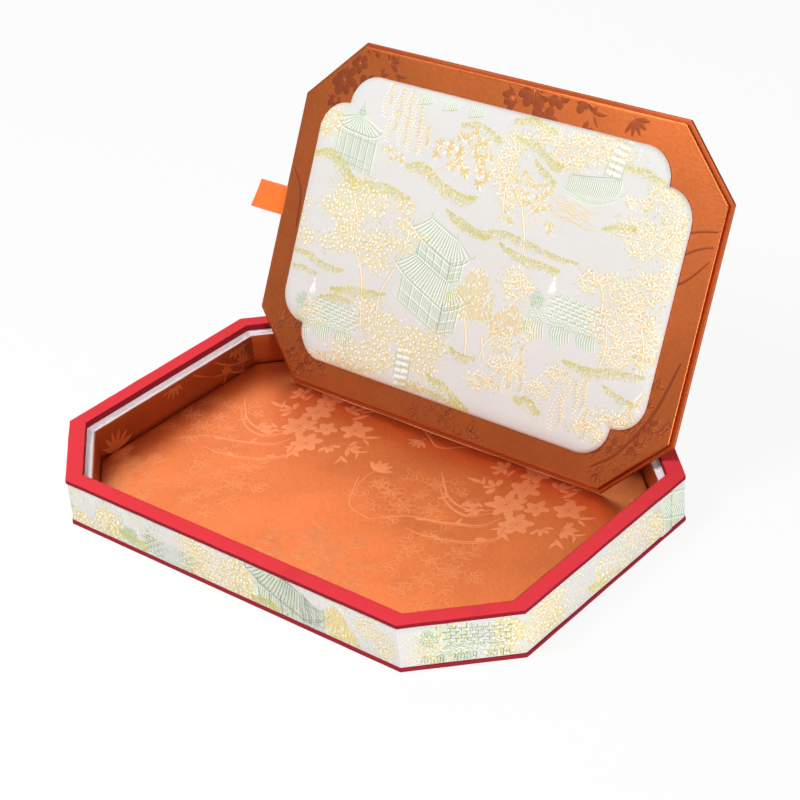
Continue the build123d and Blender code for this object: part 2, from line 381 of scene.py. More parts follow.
def pad_piece(name, ring, side_rows, under, height, centre_x, place):
    """A closed pad: a flat underside, sides that follow side_rows of (inset, level), and a top whose
    level at any point is a function of where it lies inside the outline."""
    flat = towards_middle(ring, [1, 0.5, 0.1], centre_x)
    outward = ring - towards_middle(ring, [0.05], centre_x)[0]
    outward /= np.linalg.norm(outward, axis=1)[:, None]
    sides = np.stack([ring - outward * inset for inset, _ in side_rows])
    top = towards_middle(ring, TOP_SHARES, centre_x)
    plan = np.concatenate((flat, sides, top))
    level = np.concatenate((
        np.full(flat.shape[:2], under),
        np.repeat(np.array([row[1] for row in side_rows])[:, None], len(ring), 1),
        height(top.reshape(-1, 2)).reshape(top.shape[:2]),
    ))
    points = place(plan[..., 0], plan[..., 1], level)
    return grid_piece(name, points, planar=plan)


def lid_place(x, y, out):
    """A point of the lid, from its distances across, up and out of the lid's front."""
    return (LID_MIDDLE + np.asarray(x)[..., None] * LID_ACROSS + np.asarray(y)[..., None] * LID_UP
            + np.asarray(out)[..., None] * LID_OUT)


def tray_place(x, y, z):
    """A point of the tray, whose own frame is the object's."""
    return np.stack(np.broadcast_arrays(x, y, z), -1).astype(float)


def add(tree, kind, inputs=(), **options):
    """A node with its options, whose inputs are set to a value or linked from another node's output."""
    node = tree.nodes.new(kind)
    for key, value in options.items():
        setattr(node, key, value)
    for key, value in dict(inputs).items():
        if isinstance(value, bpy.types.NodeSocket):
            tree.links.new(value, node.inputs[key])
        else:
            node.inputs[key].default_value = value
    return node


def wave_scale(mm):
    """The Wave node's scale for a pattern that repeats every so many millimetres: it draws 20 / 2 pi
    waves per unit."""
    return 2 * math.pi / (20 * mm * MM)


def rgba(value, gain=1.0):
    """A colour with full cover, made lighter or darker by a gain."""
    return (*[min(1.0, channel * gain) for channel in value], 1.0)


# A Mix node's colour inputs and its colour output, by number, because their names are shared with other
# types.
MIX_A, MIX_B, MIX_COLOUR = 6, 7, 2
# Light and dark clouds in a cloth are about 36 mm across.
CLOUDS_PER_METRE = 28.0
# Uneven threads show as streaks, and there are this many of them to a thread's spacing.
STREAKS_PER_THREAD = 0.6


def cloth(name, tint, weave, thread, relief, uv=False, turn=0.0, cast=0.08, **shader):
    """A woven cloth: threads as bump, and colour that varies a little from thread to thread and over the
    piece.

    weave is plain, for round threads that cross, rib, for cords along one way, or satin, for long floats
    that show as fine streaks. thread is the spacing in millimetres. Real threads lie 0.1 to 0.4 mm apart,
    which is too fine to show, so all the cloths are drawn coarser.
    """
    material = bpy.data.materials.new(name)
    material.use_nodes = True
    tree = material.node_tree
    base = tree.nodes["Principled BSDF"]
    source = add(tree, "ShaderNodeTexCoord").outputs["UV" if uv else "Object"]
    turned = add(tree, "ShaderNodeMapping", {"Vector": source, "Rotation": (0, 0, math.radians(turn))})
    spot = turned.outputs["Vector"]
    stretch = {"satin": (0.5, 1, 1), "rib": (0.3, 1, 0.3), "plain": (1, 1, 1)}[weave]
    drawn = add(tree, "ShaderNodeMapping", {"Vector": spot, "Scale": stretch})
    streak = add(tree, "ShaderNodeTexNoise", {"Vector": drawn.outputs["Vector"], "Detail": 3.0,
                                              "Scale": STREAKS_PER_THREAD / (thread * MM), "Roughness": 0.6})
    if weave == "plain":
        warp, weft = (
            add(tree, "ShaderNodeTexWave", {"Vector": spot, "Scale": wave_scale(thread), "Distortion": 0.4,
                                            "Detail": 1.0, "Detail Scale": 2.0}, bands_direction=way)
            for way in "XY")
        cross = add(tree, "ShaderNodeMath", {0: warp.outputs["Fac"], 1: weft.outputs["Fac"]},
                    operation="MULTIPLY")
        ribs = cross.outputs[0]
    elif weave == "rib":
        cord = add(tree, "ShaderNodeTexWave", {"Vector": spot, "Scale": wave_scale(thread), "Distortion": 0.6,
                                               "Detail": 2.0, "Detail Scale": 1.5}, bands_direction="Y")
        ribs = cord.outputs["Fac"]
    else:
        ribs = 0.0
    height = add(tree, "ShaderNodeMath", {0: ribs, 1: streak.outputs["Fac"]}, operation="ADD")
    # The mean of height and cloud together, and how far from it the colour is darkest and lightest.
    middle = {"satin": 1.0, "rib": 1.5, "plain": 1.25}[weave]
    spread = 0.28
    cloud = add(tree, "ShaderNodeTexNoise", {"Vector": spot, "Scale": CLOUDS_PER_METRE, "Detail": 3.0,
                                             "Roughness": 0.55})
    both = add(tree, "ShaderNodeMath", {0: height.outputs[0], 1: cloud.outputs["Fac"]}, operation="ADD")
    # Painted shade: the colour follows the height, so besides its random streaks and clouds it is darker in the
    # hollows between cords and crossings.
    shade = add(tree, "ShaderNodeMapRange", {"Value": both.outputs[0], "From Min": middle - spread,
                                             "From Max": middle + spread})
    blend = add(tree, "ShaderNodeMix", {0: shade.outputs["Result"], MIX_A: rgba(tint, 1 - cast),
                                        MIX_B: rgba(tint, 1 + cast)}, data_type="RGBA")
    bump = add(tree, "ShaderNodeBump", {"Height": height.outputs[0], "Strength": 0.8,
                                        "Distance": relief * MM})
    tree.links.new(blend.outputs[MIX_COLOUR], base.inputs["Base Color"])
    tree.links.new(bump.outputs["Normal"], base.inputs["Normal"])
    # A setting such as specular_ior_level is the socket Specular IOR Level.
    for key, value in shader.items():
        base.inputs[key.replace("_", " ").title().replace("Ior", "IOR")].default_value = value
    return material


def dress(piece, material, body, slot, *nodes):
    """Gives a piece its material and slot, sets it on its body, and hides the CAD nodes it stands for."""
    piece.data.materials.append(material)
    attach(piece, body)
    if nodes:
        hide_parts(*nodes)
    return piece


def taper(steps, ends, swell, peak):
    """A thread's width along it, as a share of the widest: ends at both tips, and between them a half sine to
    the power swell, widest at peak. A low swell gives a line and a high one a leaf."""
    place = np.linspace(0, 1, steps) ** (math.log(0.5) / math.log(peak))
    return ends + (1 - ends) * np.sin(place * math.pi) ** swell


def stroke(paths, width, ends=0.15, swell=0.5, peak=0.5):
    """Threads laid along paths, an (n, points, 2) array, in a flat drawing.

    Each is three points across: its two edges on the ground and its middle raised. Its width tapers.
    """
    paths = np.asarray(paths, float)
    count, steps = paths.shape[:2]
    along = np.gradient(paths, axis=1)
    along /= np.maximum(np.linalg.norm(along, axis=2, keepdims=True), 1e-9)
    aside = np.stack((-along[..., 1], along[..., 0]), -1)
    half = np.asarray(width, float).reshape(-1, 1) / 2 * taper(steps, ends, swell, peak)
    xy = np.stack((paths - aside * half[..., None], paths, paths + aside * half[..., None]), 2)
    lift = np.broadcast_to(np.array((0.0, 1.0, 0.0)), (count, steps, 3))
    first = (np.arange(count)[:, None, None] * steps + np.arange(steps - 1)[None, :, None]) * 3
    first = (first + np.arange(2)[None, None, :]).ravel()
    faces = np.stack((first, first + 3, first + 4, first + 1), -1)
    return xy.reshape(-1, 2), lift.ravel(), faces


def trail(start, turn, run, bend=0.0, steps=4):
    """Paths that leave start in the direction turn, in degrees, and turn evenly by bend over their run."""
    start = np.atleast_2d(np.asarray(start, float))
    count = max(len(start), np.size(turn), np.size(run), np.size(bend))
    turn, run, bend = (np.broadcast_to(np.asarray(v, float).reshape(-1), (count,)) for v in (turn, run, bend))
    middle = (np.arange(steps - 1) + 0.5) / (steps - 1)
    move = ways(turn[:, None] + bend[:, None] * middle) * (run / (steps - 1))[:, None, None]
    path = np.concatenate((np.zeros((count, 1, 2)), np.cumsum(move, axis=1)), axis=1)
    return np.broadcast_to(start, (count, 2))[:, None] + path


def smooth_path(points, steps=16):
    """A curve through the points: a cubic between each pair whose slopes follow the neighbouring points."""
    p = np.asarray(points, float)
    slope = np.gradient(p, axis=0)
    place = np.linspace(0, len(p) - 1, steps)
    k = np.minimum(place.astype(int), len(p) - 2)
    t = (place - k)[:, None]
    return ((2 * t ** 3 - 3 * t ** 2 + 1) * p[k] + (t ** 3 - 2 * t ** 2 + t) * slope[k]
            + (3 * t ** 2 - 2 * t ** 3) * p[k + 1] + (t ** 3 - t ** 2) * slope[k + 1])[None]


def scatter(blobs, gap, rng, jitter=0.3):
    """Points on a jittered honeycomb of the given gap that fall inside any of the ellipses (x, y, rx,
    ry)."""
    blobs = np.asarray(blobs, float)
    low = (blobs[:, :2] - blobs[:, 2:]).min(0)
    high = (blobs[:, :2] + blobs[:, 2:]).max(0)
    rows = np.arange(low[1], high[1] + gap, gap * 0.87)
    columns = np.arange(low[0], high[0] + gap, gap)
    x, y = np.meshgrid(columns, rows)
    x = x + (np.arange(len(rows)) % 2)[:, None] * gap / 2
    spots = np.stack((x.ravel(), y.ravel()), -1) + rng.uniform(-jitter, jitter, (x.size, 2)) * gap
    away = ((spots[:, None] - blobs[None, :, :2]) / blobs[None, :, 2:]) ** 2
    return spots[(away.sum(-1) < 1).any(1)]


def circles(spots, radius, width, steps=9):
    """Small outlined circles about the spots."""
    circle = ways(np.linspace(0, 360, steps)) * np.asarray(radius).reshape(-1, 1, 1)
    return stroke(spots[:, None] + circle, width, ends=1.0)


def leaves(spots, turn, size, width, bend=0.0, steps=5, centred=False):
    """Filled leaves that start at the spots, or lie centred on them."""
    path = trail(spots, turn, size, bend, steps)
    if centred:
        path = path - (path[:, -1:] - path[:, :1]) / 2
    return stroke(path, width, ends=0.12, swell=0.9)


class Loom:
    """Collects strokes for each thread of one cloth and weaves each thread into one piece.

    A real float is about 0.2 mm wide, too fine to show, so a stroke stands for one or for a few side by
    side. Each cloth has a seed of its own, so its random draws don't hang on the others.
    """

    def __init__(self, seed):
        self.threads = {}
        # Where level lines fall away to one side: the point about which they turn, and by what share.
        self.slant = None
        self.rng = np.random.default_rng(seed)

    def lay(self, thread, drawn):
        """Adds strokes to a thread. Under a slant they drop with their distance aside, a little less
        higher up."""
        xy, lift, faces = drawn
        if self.slant is not None:
            x, y, share = self.slant
            xy = np.stack((xy[:, 0], xy[:, 1] + (xy[:, 0] - x) * share * (1 - 0.012 * (xy[:, 1] - y))), -1)
        self.threads.setdefault(thread, []).append((xy, lift, faces))

    def line(self, thread, points, width=0.55, steps=None):
        """Adds one curve through the points, in five steps for each of them unless steps says."""
        self.lay(thread, stroke(smooth_path(points, steps or 5 * len(points)), width, ends=0.5))

    def straight(self, thread, starts, stops, width=0.5):
        """Adds straight strokes from each start to its stop."""
        starts, stops = np.atleast_2d(starts).astype(float), np.atleast_2d(stops).astype(float)
        starts, stops = np.broadcast_arrays(starts, stops)
        share = np.linspace(0, 1, 4)[None, :, None]
        self.lay(thread, stroke(starts[:, None] * (1 - share) + stops[:, None] * share, width, ends=0.7))

    def weave(self, thread, name, place, inside, relief, material, body, slot, flip=False):
        """Makes one piece of a thread's strokes, leaving out the faces that pass the cloth's edge."""
        xy, lift, faces = zip(*self.threads[thread])
        first = np.cumsum([0] + [len(points) for points in xy])
        faces = np.concatenate([quads + start for quads, start in zip(faces, first)])
        xy, lift = np.concatenate(xy), np.concatenate(lift)
        faces = faces[inside(xy)[faces].all(1)]
        a, b, c = (xy[faces[:, k]] for k in (0, 1, 2))
        area = np.cross(b - a, c - a)
        turned = (area < 0) != flip
        faces = np.where(turned[:, None], faces[:, ::-1], faces)
        used = np.unique(faces)
        renumber = np.zeros(len(xy), int)
        renumber[used] = np.arange(len(used))
        xy, lift = xy[used], lift[used]
        points = place(xy, lift * (relief + THREAD_CROWN) - THREAD_SUNK)
        piece = make_piece(name, points, renumber[faces], uv=xy[renumber[faces].ravel()])
        return dress(piece, material, body, slot)


def under(loom, thread, blobs, gap=1.5, size=2.2):
    """Pale grains close together behind a motif, which tint the ground there."""
    spots = scatter(blobs, gap, loom.rng, 0.25)
    loom.lay(thread, leaves(spots, loom.rng.uniform(60, 120, len(spots)), size, 1.3, steps=4, centred=True))


def mist(loom, blobs, gap=1.7):
    """Pale green grains behind a building."""
    under(loom, "mist", blobs, gap, 2.6)


def undergrowth(loom, blobs, gap=2.2, green=0.03):
    """Loose small stitches that fill the ground between motifs: mostly straw, some gold, olive and white."""
    spots = scatter(blobs, gap, loom.rng, 0.6)
    turn = loom.rng.uniform(20, 160, len(spots))
    size = loom.rng.uniform(1.1, 2.0, len(spots))
    pick = loom.rng.random(len(spots))
    for thread, low, high in (("straw", 0.0, 0.55), ("white", 0.55, 0.65), ("gold", 0.65, 0.88 - green),
                              ("olive", 0.88 - green, 1 - green), ("green", 1 - green, 1.0)):
        part = (pick >= low) & (pick < high)
        if part.any():
            long = size[part]
            loom.lay(thread, leaves(spots[part], turn[part], long, long * 0.45, 25, 4, centred=True))


def blossom_tree(loom, crowns, trunks=()):
    """White blossoms of uneven size, each in a gold crescent, packed in the crowns, with gold leaves
    between, on double-lined trunks."""
    under(loom, "straw", crowns)
    trunk_lines(loom, trunks)
    spots = scatter(crowns, 3.0, loom.rng, 0.4)
    turn = loom.rng.uniform(0, 180, len(spots))
    size = loom.rng.uniform(1.4, 2.1, len(spots))
    loom.lay("white", leaves(spots, turn, size, size * 0.85, steps=5, centred=True))
    start = spots - size[:, None] * 0.66 * ways(turn)
    loom.lay("gold", stroke(trail(start, turn - 85, size * 2.1, 190, 8), 0.6, ends=0.4))
    between = scatter(crowns, 2.3, loom.rng, 0.6)
    turn = loom.rng.uniform(0, 360, len(between))
    loom.lay("gold", leaves(between[::2], turn[::2], 1.7, 0.65, 30, 4))
    loom.lay("olive", leaves(between[1::2], turn[1::2], 1.6, 0.6, 30, 4))


def trunk_lines(loom, trunks):
    """Each trunk as a white line between two gold ones."""
    for trunk in trunks:
        trunk = np.asarray(trunk, float)
        loom.line("gold", trunk - (0.6, 0), 0.6)
        loom.line("white", trunk, 0.8)
        loom.line("gold", trunk + (0.7, 0), 0.45)


def needle_tree(loom, crowns, trunks=()):
    """Rosettes of short gold leaves that open upwards and to both sides, with thin white ones between."""
    under(loom, "straw", crowns, 1.9)
    trunk_lines(loom, trunks)
    spots = scatter(crowns, 3.5, loom.rng, 0.4)
    lean = loom.rng.uniform(30, 150, len(spots))
    long = 2.6 * loom.rng.uniform(0.75, 1.15, len(spots))
    for k, swing in enumerate((-112, -75, -37, 0, 37, 75, 112)):
        if k % 2:
            loom.lay("white", leaves(spots, lean + swing, long, long * 0.26, steps=4))
        else:
            loom.lay("gold", leaves(spots, lean + swing, long, long * 0.27, swing * 0.2, 4))


def grain_tree(loom, crowns, trunks=()):
    """A crown filled with upright grains, gold with white between."""
    under(loom, "straw", crowns)
    spots = scatter(crowns, 1.6, loom.rng, 0.2)
    choice = loom.rng.random(len(spots)) < 0.8
    turn = loom.rng.uniform(70, 110, len(spots))
    loom.lay("gold", leaves(spots[choice], turn[choice], 1.9, 1.05, steps=4))
    loom.lay("white", leaves(spots[~choice], turn[~choice], 1.5, 0.7, steps=4))
    trunk_lines(loom, trunks)


def star_tree(loom, crowns, trunks, size, gap):
    """Broad five-pointed leaves in solid gold, with white beside them."""
    under(loom, "straw", crowns, 2.3)
    spots = scatter(crowns, gap, loom.rng)
    lean = loom.rng.uniform(0, 360, len(spots))
    for swing in (-100, -50, 0, 50, 100):
        long = size * (1.1 if swing == 0 else 0.85)
        loom.lay("gold", leaves(spots, lean + swing, long, size * 0.36, steps=4))
    loom.lay("white", leaves(spots + (0.8, -0.9), lean + 20, size, size * 0.3, steps=4))
    loom.lay("white", leaves(spots + (-0.6, 0.9), lean + 200, size * 0.8, size * 0.28, steps=4))
    trunk_lines(loom, trunks)


def willow(loom, heads, run):
    """Two hanging shoots that leave each head and bend down, with narrow leaves in pairs along them."""
    heads = np.asarray(heads, float)
    for k, side in enumerate((-0.5, 0.5)):
        reach = run * loom.rng.uniform(0.6, 1.1, len(heads))
        lean = loom.rng.uniform(-14, 14, len(heads))
        shoots = trail(heads + (1.8 * side, 0), -90 + 16 * side + lean, reach, -16 * side - 1.6 * lean, 11)
        sway = 0.6 * np.sin(np.linspace(0, 7, 11) + 2 * k)
        shoots = shoots + sway[:, None] * (1, 0)
        loom.lay("gold", stroke(shoots, 0.3, ends=0.4))
        spots = shoots[:, 1:].reshape(-1, 2)
        heading = np.degrees(np.arctan2(*(shoots[:, 1:] - shoots[:, :-1]).reshape(-1, 2).T[::-1]))
        loom.lay("gold", leaves(spots, heading + 48, 2.2, 0.6, 20, 4))
        loom.lay("gold" if k else "white", leaves(spots, heading - 48, 2.2, 0.6, -20, 4))
        loom.lay("white", leaves(spots + (0.1, -0.8), heading + 44, 1.9, 0.5, 20, 4))


def bank(loom, points, depth):
    """A hill's edge in short slanting stitches, close along the top and thinning out below it."""
    last = 59
    path = smooth_path(points, last + 1)[0]
    run = np.linalg.norm(np.diff(path, axis=0), axis=1).sum()
    middles = path[::6] - (0, depth * 0.35)
    under(loom, "straw", np.column_stack((middles, np.full((len(middles), 2), depth * 0.55))), 1.9)
    depth *= 1.45
    count = int(run * depth * 2.1)
    place = loom.rng.uniform(0, last, count)
    k = place.astype(int)
    top = path[k] + (path[np.minimum(k + 1, last)] - path[k]) * (place - k)[:, None]
    ends = np.sin(np.pi * place / last) ** 0.4
    drop = loom.rng.beta(0.9, 1.8, count) * depth * ends
    spots = top - drop[:, None] * (0, 1)
    turn = loom.rng.uniform(55, 80, count)
    size = loom.rng.uniform(0.8, 1.4, count)
    choice = loom.rng.random(count)
    for thread, low, high in (("olive", 0.0, 0.8), ("gold", 0.8, 0.9), ("white", 0.9, 1.0)):
        part = (choice >= low) & (choice < high)
        loom.lay(thread, leaves(spots[part], turn[part], size[part], 0.46, steps=4))


def lay_in_turn(loom, paths, green, white, ends):
    """Lays paths in green and white thread by turns, each of its own width."""
    loom.lay("green", stroke(paths[::2], green, ends=ends))
    loom.lay("white", stroke(paths[1::2], white, ends=ends))


def tile_rows(high, low, middle):
    """Rows of tiles: each is a quadratic curve from a ridge's point to an eave's, drawn towards its
    middle point."""
    t = np.linspace(0, 1, 6)[None, :, None]
    return (1 - t) ** 2 * high[:, None] + 2 * t * (1 - t) * middle[:, None] + t ** 2 * low[:, None]


def roof(loom, x, y, width, rise, ridge):
    """A tiled roof: rows of tiles that run from a short ridge down to an eave whose ends curl up."""
    mist(loom, [(x, y + rise / 2, width * 0.42, rise * 0.6)], 1.8)
    share = np.linspace(-1, 1, max(11, int(width / 1.15)))
    top = np.column_stack((x + share * ridge / 2, np.full(len(share), y + rise)))
    low = np.stack((x + share * width / 2, y + 0.16 * width * np.abs(share) ** 5), -1)
    lay_in_turn(loom, tile_rows(top, low, (top + low) / 2 - (0, 0.12 * rise)), 0.62, 0.5, 0.7)
    loom.lay("green", stroke(low[None], 0.9, ends=0.4))
    loom.lay("white", stroke(low[None] - (0, 1.0), 0.6, ends=0.4))
    loom.lay("green", stroke(top[None] + (0, 0.4), 0.9, ends=0.5))
    for side in (-1, 1):
        curl = trail((x + side * ridge / 2, y + rise), 90 - side * 70, 0.14 * width, side * 200, 8)
        loom.lay("green", stroke(curl, 0.6, ends=0.4))


def storey(loom, x, low, high, width, posts):
    """Posts, rails and lattice under a roof."""
    mist(loom, [(x, (low + high) / 2, width * 0.62, (high - low) * 0.75)], 1.8)
    place = np.linspace(x - width / 2, x + width / 2, posts)
    fine = np.arange(place[0] + 1, place[-1], 1.5)
    rail = low + (high - low) * 0.3

    def upright(thread, at, bottom, top, thick, lean=0.0):
        loom.straight(thread, np.column_stack((at, np.full(len(at), bottom))),
                      np.column_stack((at + lean, np.full(len(at), top))), thick)

    upright("green", place, low, high, 0.6)
    upright("white", place + 0.9, low, high, 0.5)
    for share in (0.12, 0.3, 0.86):
        level = low + (high - low) * share
        loom.straight("green", (place[0], level), (place[-1], level), 0.5)
    upright("green", fine, low, rail, 0.4)
    upright("green", fine, rail + 0.8, high - 0.6, 0.32, 1.3)


def kiosk(loom, x, y, width, slant):
    """One tall storey under a pointed roof, with two balls and a spike on top. Its level lines all fall
    away to one side by the slant, as they do in such pictures."""
    loom.slant = (x, y + width, slant)
    eave = y + 0.6 * width
    storey(loom, x, y, eave, width * 0.8, 6)
    roof(loom, x, eave, width, 0.3 * width, width * 0.08)
    tip = eave + 0.2 * width
    balls = np.array([(x, tip + 0.13 * width), (x, tip + 0.2 * width)])
    loom.lay("green", circles(balls, np.array([1.6, 1.1]), 0.6))
    loom.line("green", [(x, tip + 0.22 * width), (x, tip + 0.34 * width)], 0.5)
    loom.slant = None


def pavilion(loom, x, y, size, storeys=2):
    """Storeys under tiled roofs in slanting view: a long front that falls to the right, a short end that
    rises to the right of it, and a roof over each whose tiles run down from a ridge to an eave with
    curled ends. Each storey above is smaller. x and y are the foot of the corner between front and end."""
    front, end, up = np.array((-0.93, 0.36)), np.array((0.84, 0.34)), np.array((0.0, 1.0))
    corner = np.array((x, y), float)
    for k in range(storeys):
        long, short, tall = size * (0.8 - 0.2 * k), size * (0.3 - 0.07 * k), size * (0.42 - 0.1 * k)
        for way, run, posts in ((front, long, 5), (end, short, 3)):
            mist(loom, [(*(corner + way * run * s + up * tall * 0.45), run * 0.3, tall * 0.55)
                        for s in (0.2, 0.5, 0.8)])
            place = corner + way * np.linspace(0, run, posts)[:, None]
            loom.straight("green", place, place + up * tall, 0.7)
            loom.straight("white", place + (0.9, 0), place + (0.9, tall * 0.95), 0.6)
            fine = corner + way * np.arange(1.2, run, 1.5)[:, None]
            loom.straight("green", fine, fine + up * tall * 0.3, 0.4)
            loom.straight("green", fine + up * tall * 0.42, fine + up * tall * 0.8 + (0.9, 0), 0.35)
            for share in (0.0, 0.32, 0.82):
                for thread, raised, thick in (("green", 0, 0.55), ("white", 0.9, 0.45)):
                    rail = corner + up * (tall * share + raised)
                    loom.straight(thread, rail, rail + way * run, thick)
        eave = corner + up * tall * 0.92 - end * 1.5 - front * 3
        ridge = corner + up * (tall + size * 0.2) + end * short * 0.5 + front * long * 0.12
        count = int(long / 0.82)
        share = np.linspace(0, 1, count)[:, None]
        low = eave - up * 1.2 + front * (long + 9) * share + up * 3.2 * share ** 5
        high = ridge + front * (long * 0.86) * share
        middle = (low + high) / 2
        mist(loom, [(*middle[j], size * 0.1, size * 0.1) for j in range(0, count, 5)])
        lay_in_turn(loom, tile_rows(high, low, middle - up), 0.6, 0.55, 0.7)
        fan = np.linspace(0, 1, max(5, count // 3))[:, None]
        side_low = eave - up * 1.2 + end * (short + 4) * fan + up * 2.5 * fan ** 4
        side_high = ridge + end * fan
        side = side_high[:, None] + (side_low - side_high)[:, None] * np.linspace(0, 1, 6)[None, :, None]
        lay_in_turn(loom, side, 0.55, 0.5, 0.6)
        for line in (low, side_low, high):
            loom.lay("green", stroke(line[None] + (0, 0.5), 0.8, ends=0.4))
            loom.lay("white", stroke(line[None] - (0, 0.6), 0.7, ends=0.4))
        for tip, turn, bend in ((low[-1], 120, -60), (side_low[-1], 20, 70), (high[0], 60, 110),
                                (high[-1], 130, -110)):
            loom.lay("green", stroke(trail(tip, turn, size * 0.1, bend, 8), 0.6, ends=0.4))
        corner = ridge + front * long * 0.02 - end * short * 0.2


def stone_bridge(loom, x, y, width, height):
    """A walk with a fretted parapet on broken rock, over piers whose courses run down in waves beside
    the arches."""
    left, right = x - width / 2, x + width / 2
    mist(loom, [(x + width * 0.1, y + height * 0.78, width * 0.4, height * 0.2),
                (x, y + height * 0.5, width * 0.48, height * 0.16)])
    rise = height * 0.075
    for k in range(6):
        level = y + height * 0.62 + rise * k
        starts = np.arange(left + width * 0.24 + 2.5 * (k % 2), right, 5.0)
        low = np.stack((starts, level - 0.06 * (starts - left)), -1)
        for thread, shift, wide in (("green", (0, 0), 0.6), ("white", (0.5, -0.8), 0.5)):
            loom.straight(thread, low + shift, low + shift + (3.9, -0.2), wide)
            loom.straight(thread, low + shift + (3.9, -0.2), low + shift + (3.9, rise - 0.2), wide)
    steps = 26
    for k in range(5):
        across = np.linspace(left, right, steps) + loom.rng.uniform(-0.5, 0.5, steps)
        broken = np.where(np.arange(steps) % 2, 1.0, -1.0) * loom.rng.uniform(0.3, 1.3, steps)
        rock = np.stack((across, y + height * (0.4 + 0.05 * k) + broken), -1)
        loom.lay("green", stroke(rock[None], 0.5, ends=0.6))
        loom.lay("white", stroke(rock[None] + (0.5, 0.75), 0.45, ends=0.6))
    wave = np.sin(np.linspace(0, 9, 10))[:, None] * (0.3, 0)
    for k, pier in enumerate((left + width * 0.1, left + width * 0.5, left + width * 0.9)):
        under(loom, "mist", [(pier + width * 0.02, y + height * 0.22, width * 0.12, height * 0.24)], 1.9, 2.4)
        for step in np.linspace(-1, 1, 8):
            start = (pier + step * width * 0.12, y + height * 0.42)
            run = height * (0.44 - 0.1 * abs(step) - 0.04 * k)
            path = trail(start, -90 + step * 14, run, 18 - 24 * step, 10)
            loom.lay("green", stroke(path + wave, 0.6, ends=0.6))
            loom.lay("white", stroke(path + (0.75, -0.4), 0.42, ends=0.5))
    spots = scatter([(left + width * 0.06, y + height * 0.78, width * 0.11, height * 0.18)], 1.7, loom.rng)
    loom.lay("green", circles(spots, 0.75, 0.5, 7))
    loom.lay("white", leaves(spots, 80, 0.9, 0.6, steps=4))


def stair(loom, x, y, width, run, turn):
    """Three rails with white treads between them."""
    up, across = ways(turn), ways(turn - 90)
    foot = np.array((x, y))
    rails = np.array([foot + across * width * s for s in (-0.5, -0.05, 0.5)])
    loom.straight("green", rails, rails + up * run, 0.65)
    edges = foot + up * np.arange(1.5, run, 3.6)[:, None]
    treads = edges + up * 1.8
    loom.straight("green", edges - across * width / 2, edges + across * width / 2, 0.5)
    loom.straight("white", treads - across * width * 0.44, treads + across * width * 0.44, 2.0)


def boat(loom, x, y, size):
    """A long moored boat: a curved hull in close lines under a slatted awning."""
    mist(loom, [(x - size * 0.1, y + 4, size * 0.42, 5), (x + size * 0.3, y + 7, size * 0.2, 4)])
    for k, share in enumerate(np.linspace(0, 1, 8)):
        hull = [(x - size * (0.5 - 0.05 * share), y + 3.2 - 3.4 * share), (x, y - 1.6 * share - 1.5),
                (x + size * 0.36, y + 2.5 - share), (x + size * (0.55 - 0.02 * k), y + 9 - 3 * share)]
        loom.line("white" if k % 2 else "green", hull, 0.5, 14)
    slats = np.linspace(-0.42, 0.38, 27)
    low = np.stack((x + slats * size, y + 1.5 + 14 * np.clip(slats, 0, 1) ** 1.5), -1)
    loom.lay("green", stroke(trail(low, 72, 9.0, 26, 6), 0.5, ends=0.6))
    loom.lay("white", stroke(trail(low + (0.7, 0.3), 72, 8.0, 26, 6), 0.4, ends=0.6))
    loom.line("green", [(x - size * 0.38, y + 9.5), (x, y + 11.5), (x + size * 0.36, y + 14)], 0.7)


def walker(loom, x, y):
    """A tiny robed shape in white: folds of a robe, a sleeve and a head, with one line of green."""
    loom.lay("white", leaves([(x - 1.6, y), (x, y), (x + 1.6, y)], (78, 88, 97), 7.6, 1.7, steps=7))
    loom.lay("white", leaves([(x + 0.6, y + 4.6)], -30, 2.8, 1.0, steps=5))
    loom.lay("white", circles(np.array([(x + 0.2, y + 8.6)]), 0.6, 0.8, 7))
    loom.lay("green", stroke(trail([(x + 1.3, y + 6)], -100, 5, 12, 6), 0.3))


def ripples(loom, x, y, width, count):
    """Long wavy lines of gold for moving water."""
    t = np.linspace(0, 1, 18)
    for k in range(count):
        shift = loom.rng.uniform(-0.12, 0.12) * width
        path = np.stack((x + shift + t * width * loom.rng.uniform(0.6, 0.95),
                         y - k * 1.5 - t * 3.5 + 0.55 * np.sin(t * 15 + k)), -1)
        loom.lay("gold", stroke(path[None], 0.6, ends=0.3))


# Where each motif of the landscape lies on the panel, in millimetres across and up from its middle.
BLOSSOMS = [
    ([(-86, 12, 14, 13), (-70, 14, 9, 8), (-98, 6, 9, 6), (-88, 0, 8, 6)],
     [[(-78, -4), (-80, 4), (-84, 12)]]),
    ([(-62, -6, 13, 7), (-80, -9, 14, 7), (-93, -14, 9, 5), (-62, -16, 10, 6)],
     [[(-62, -54), (-66, -36), (-70, -24), (-78, -12)], [(-52, -52), (-54, -34), (-49, -20), (-45, -8)]]),
    ([(-48, 6, 8, 4), (-38, 3, 8, 3), (-44, -4, 7, 4), (-50, 16, 7, 4)], [[(-45, -8), (-44, 2), (-48, 12)]]),
    ([(-60, -46, 8, 9), (-46, -50, 10, 9), (-26, -52, 12, 8), (-12, -50, 8, 8), (-48, -66, 14, 8),
      (-66, -68, 12, 7), (-16, -62, 9, 7)], []),
    ([(-111, 51, 8, 8), (-116, 46, 5, 5)], []),
    ([(-113, -14, 7, 5), (-118, -4, 4, 3), (-116, 4, 4, 2)], []),
]
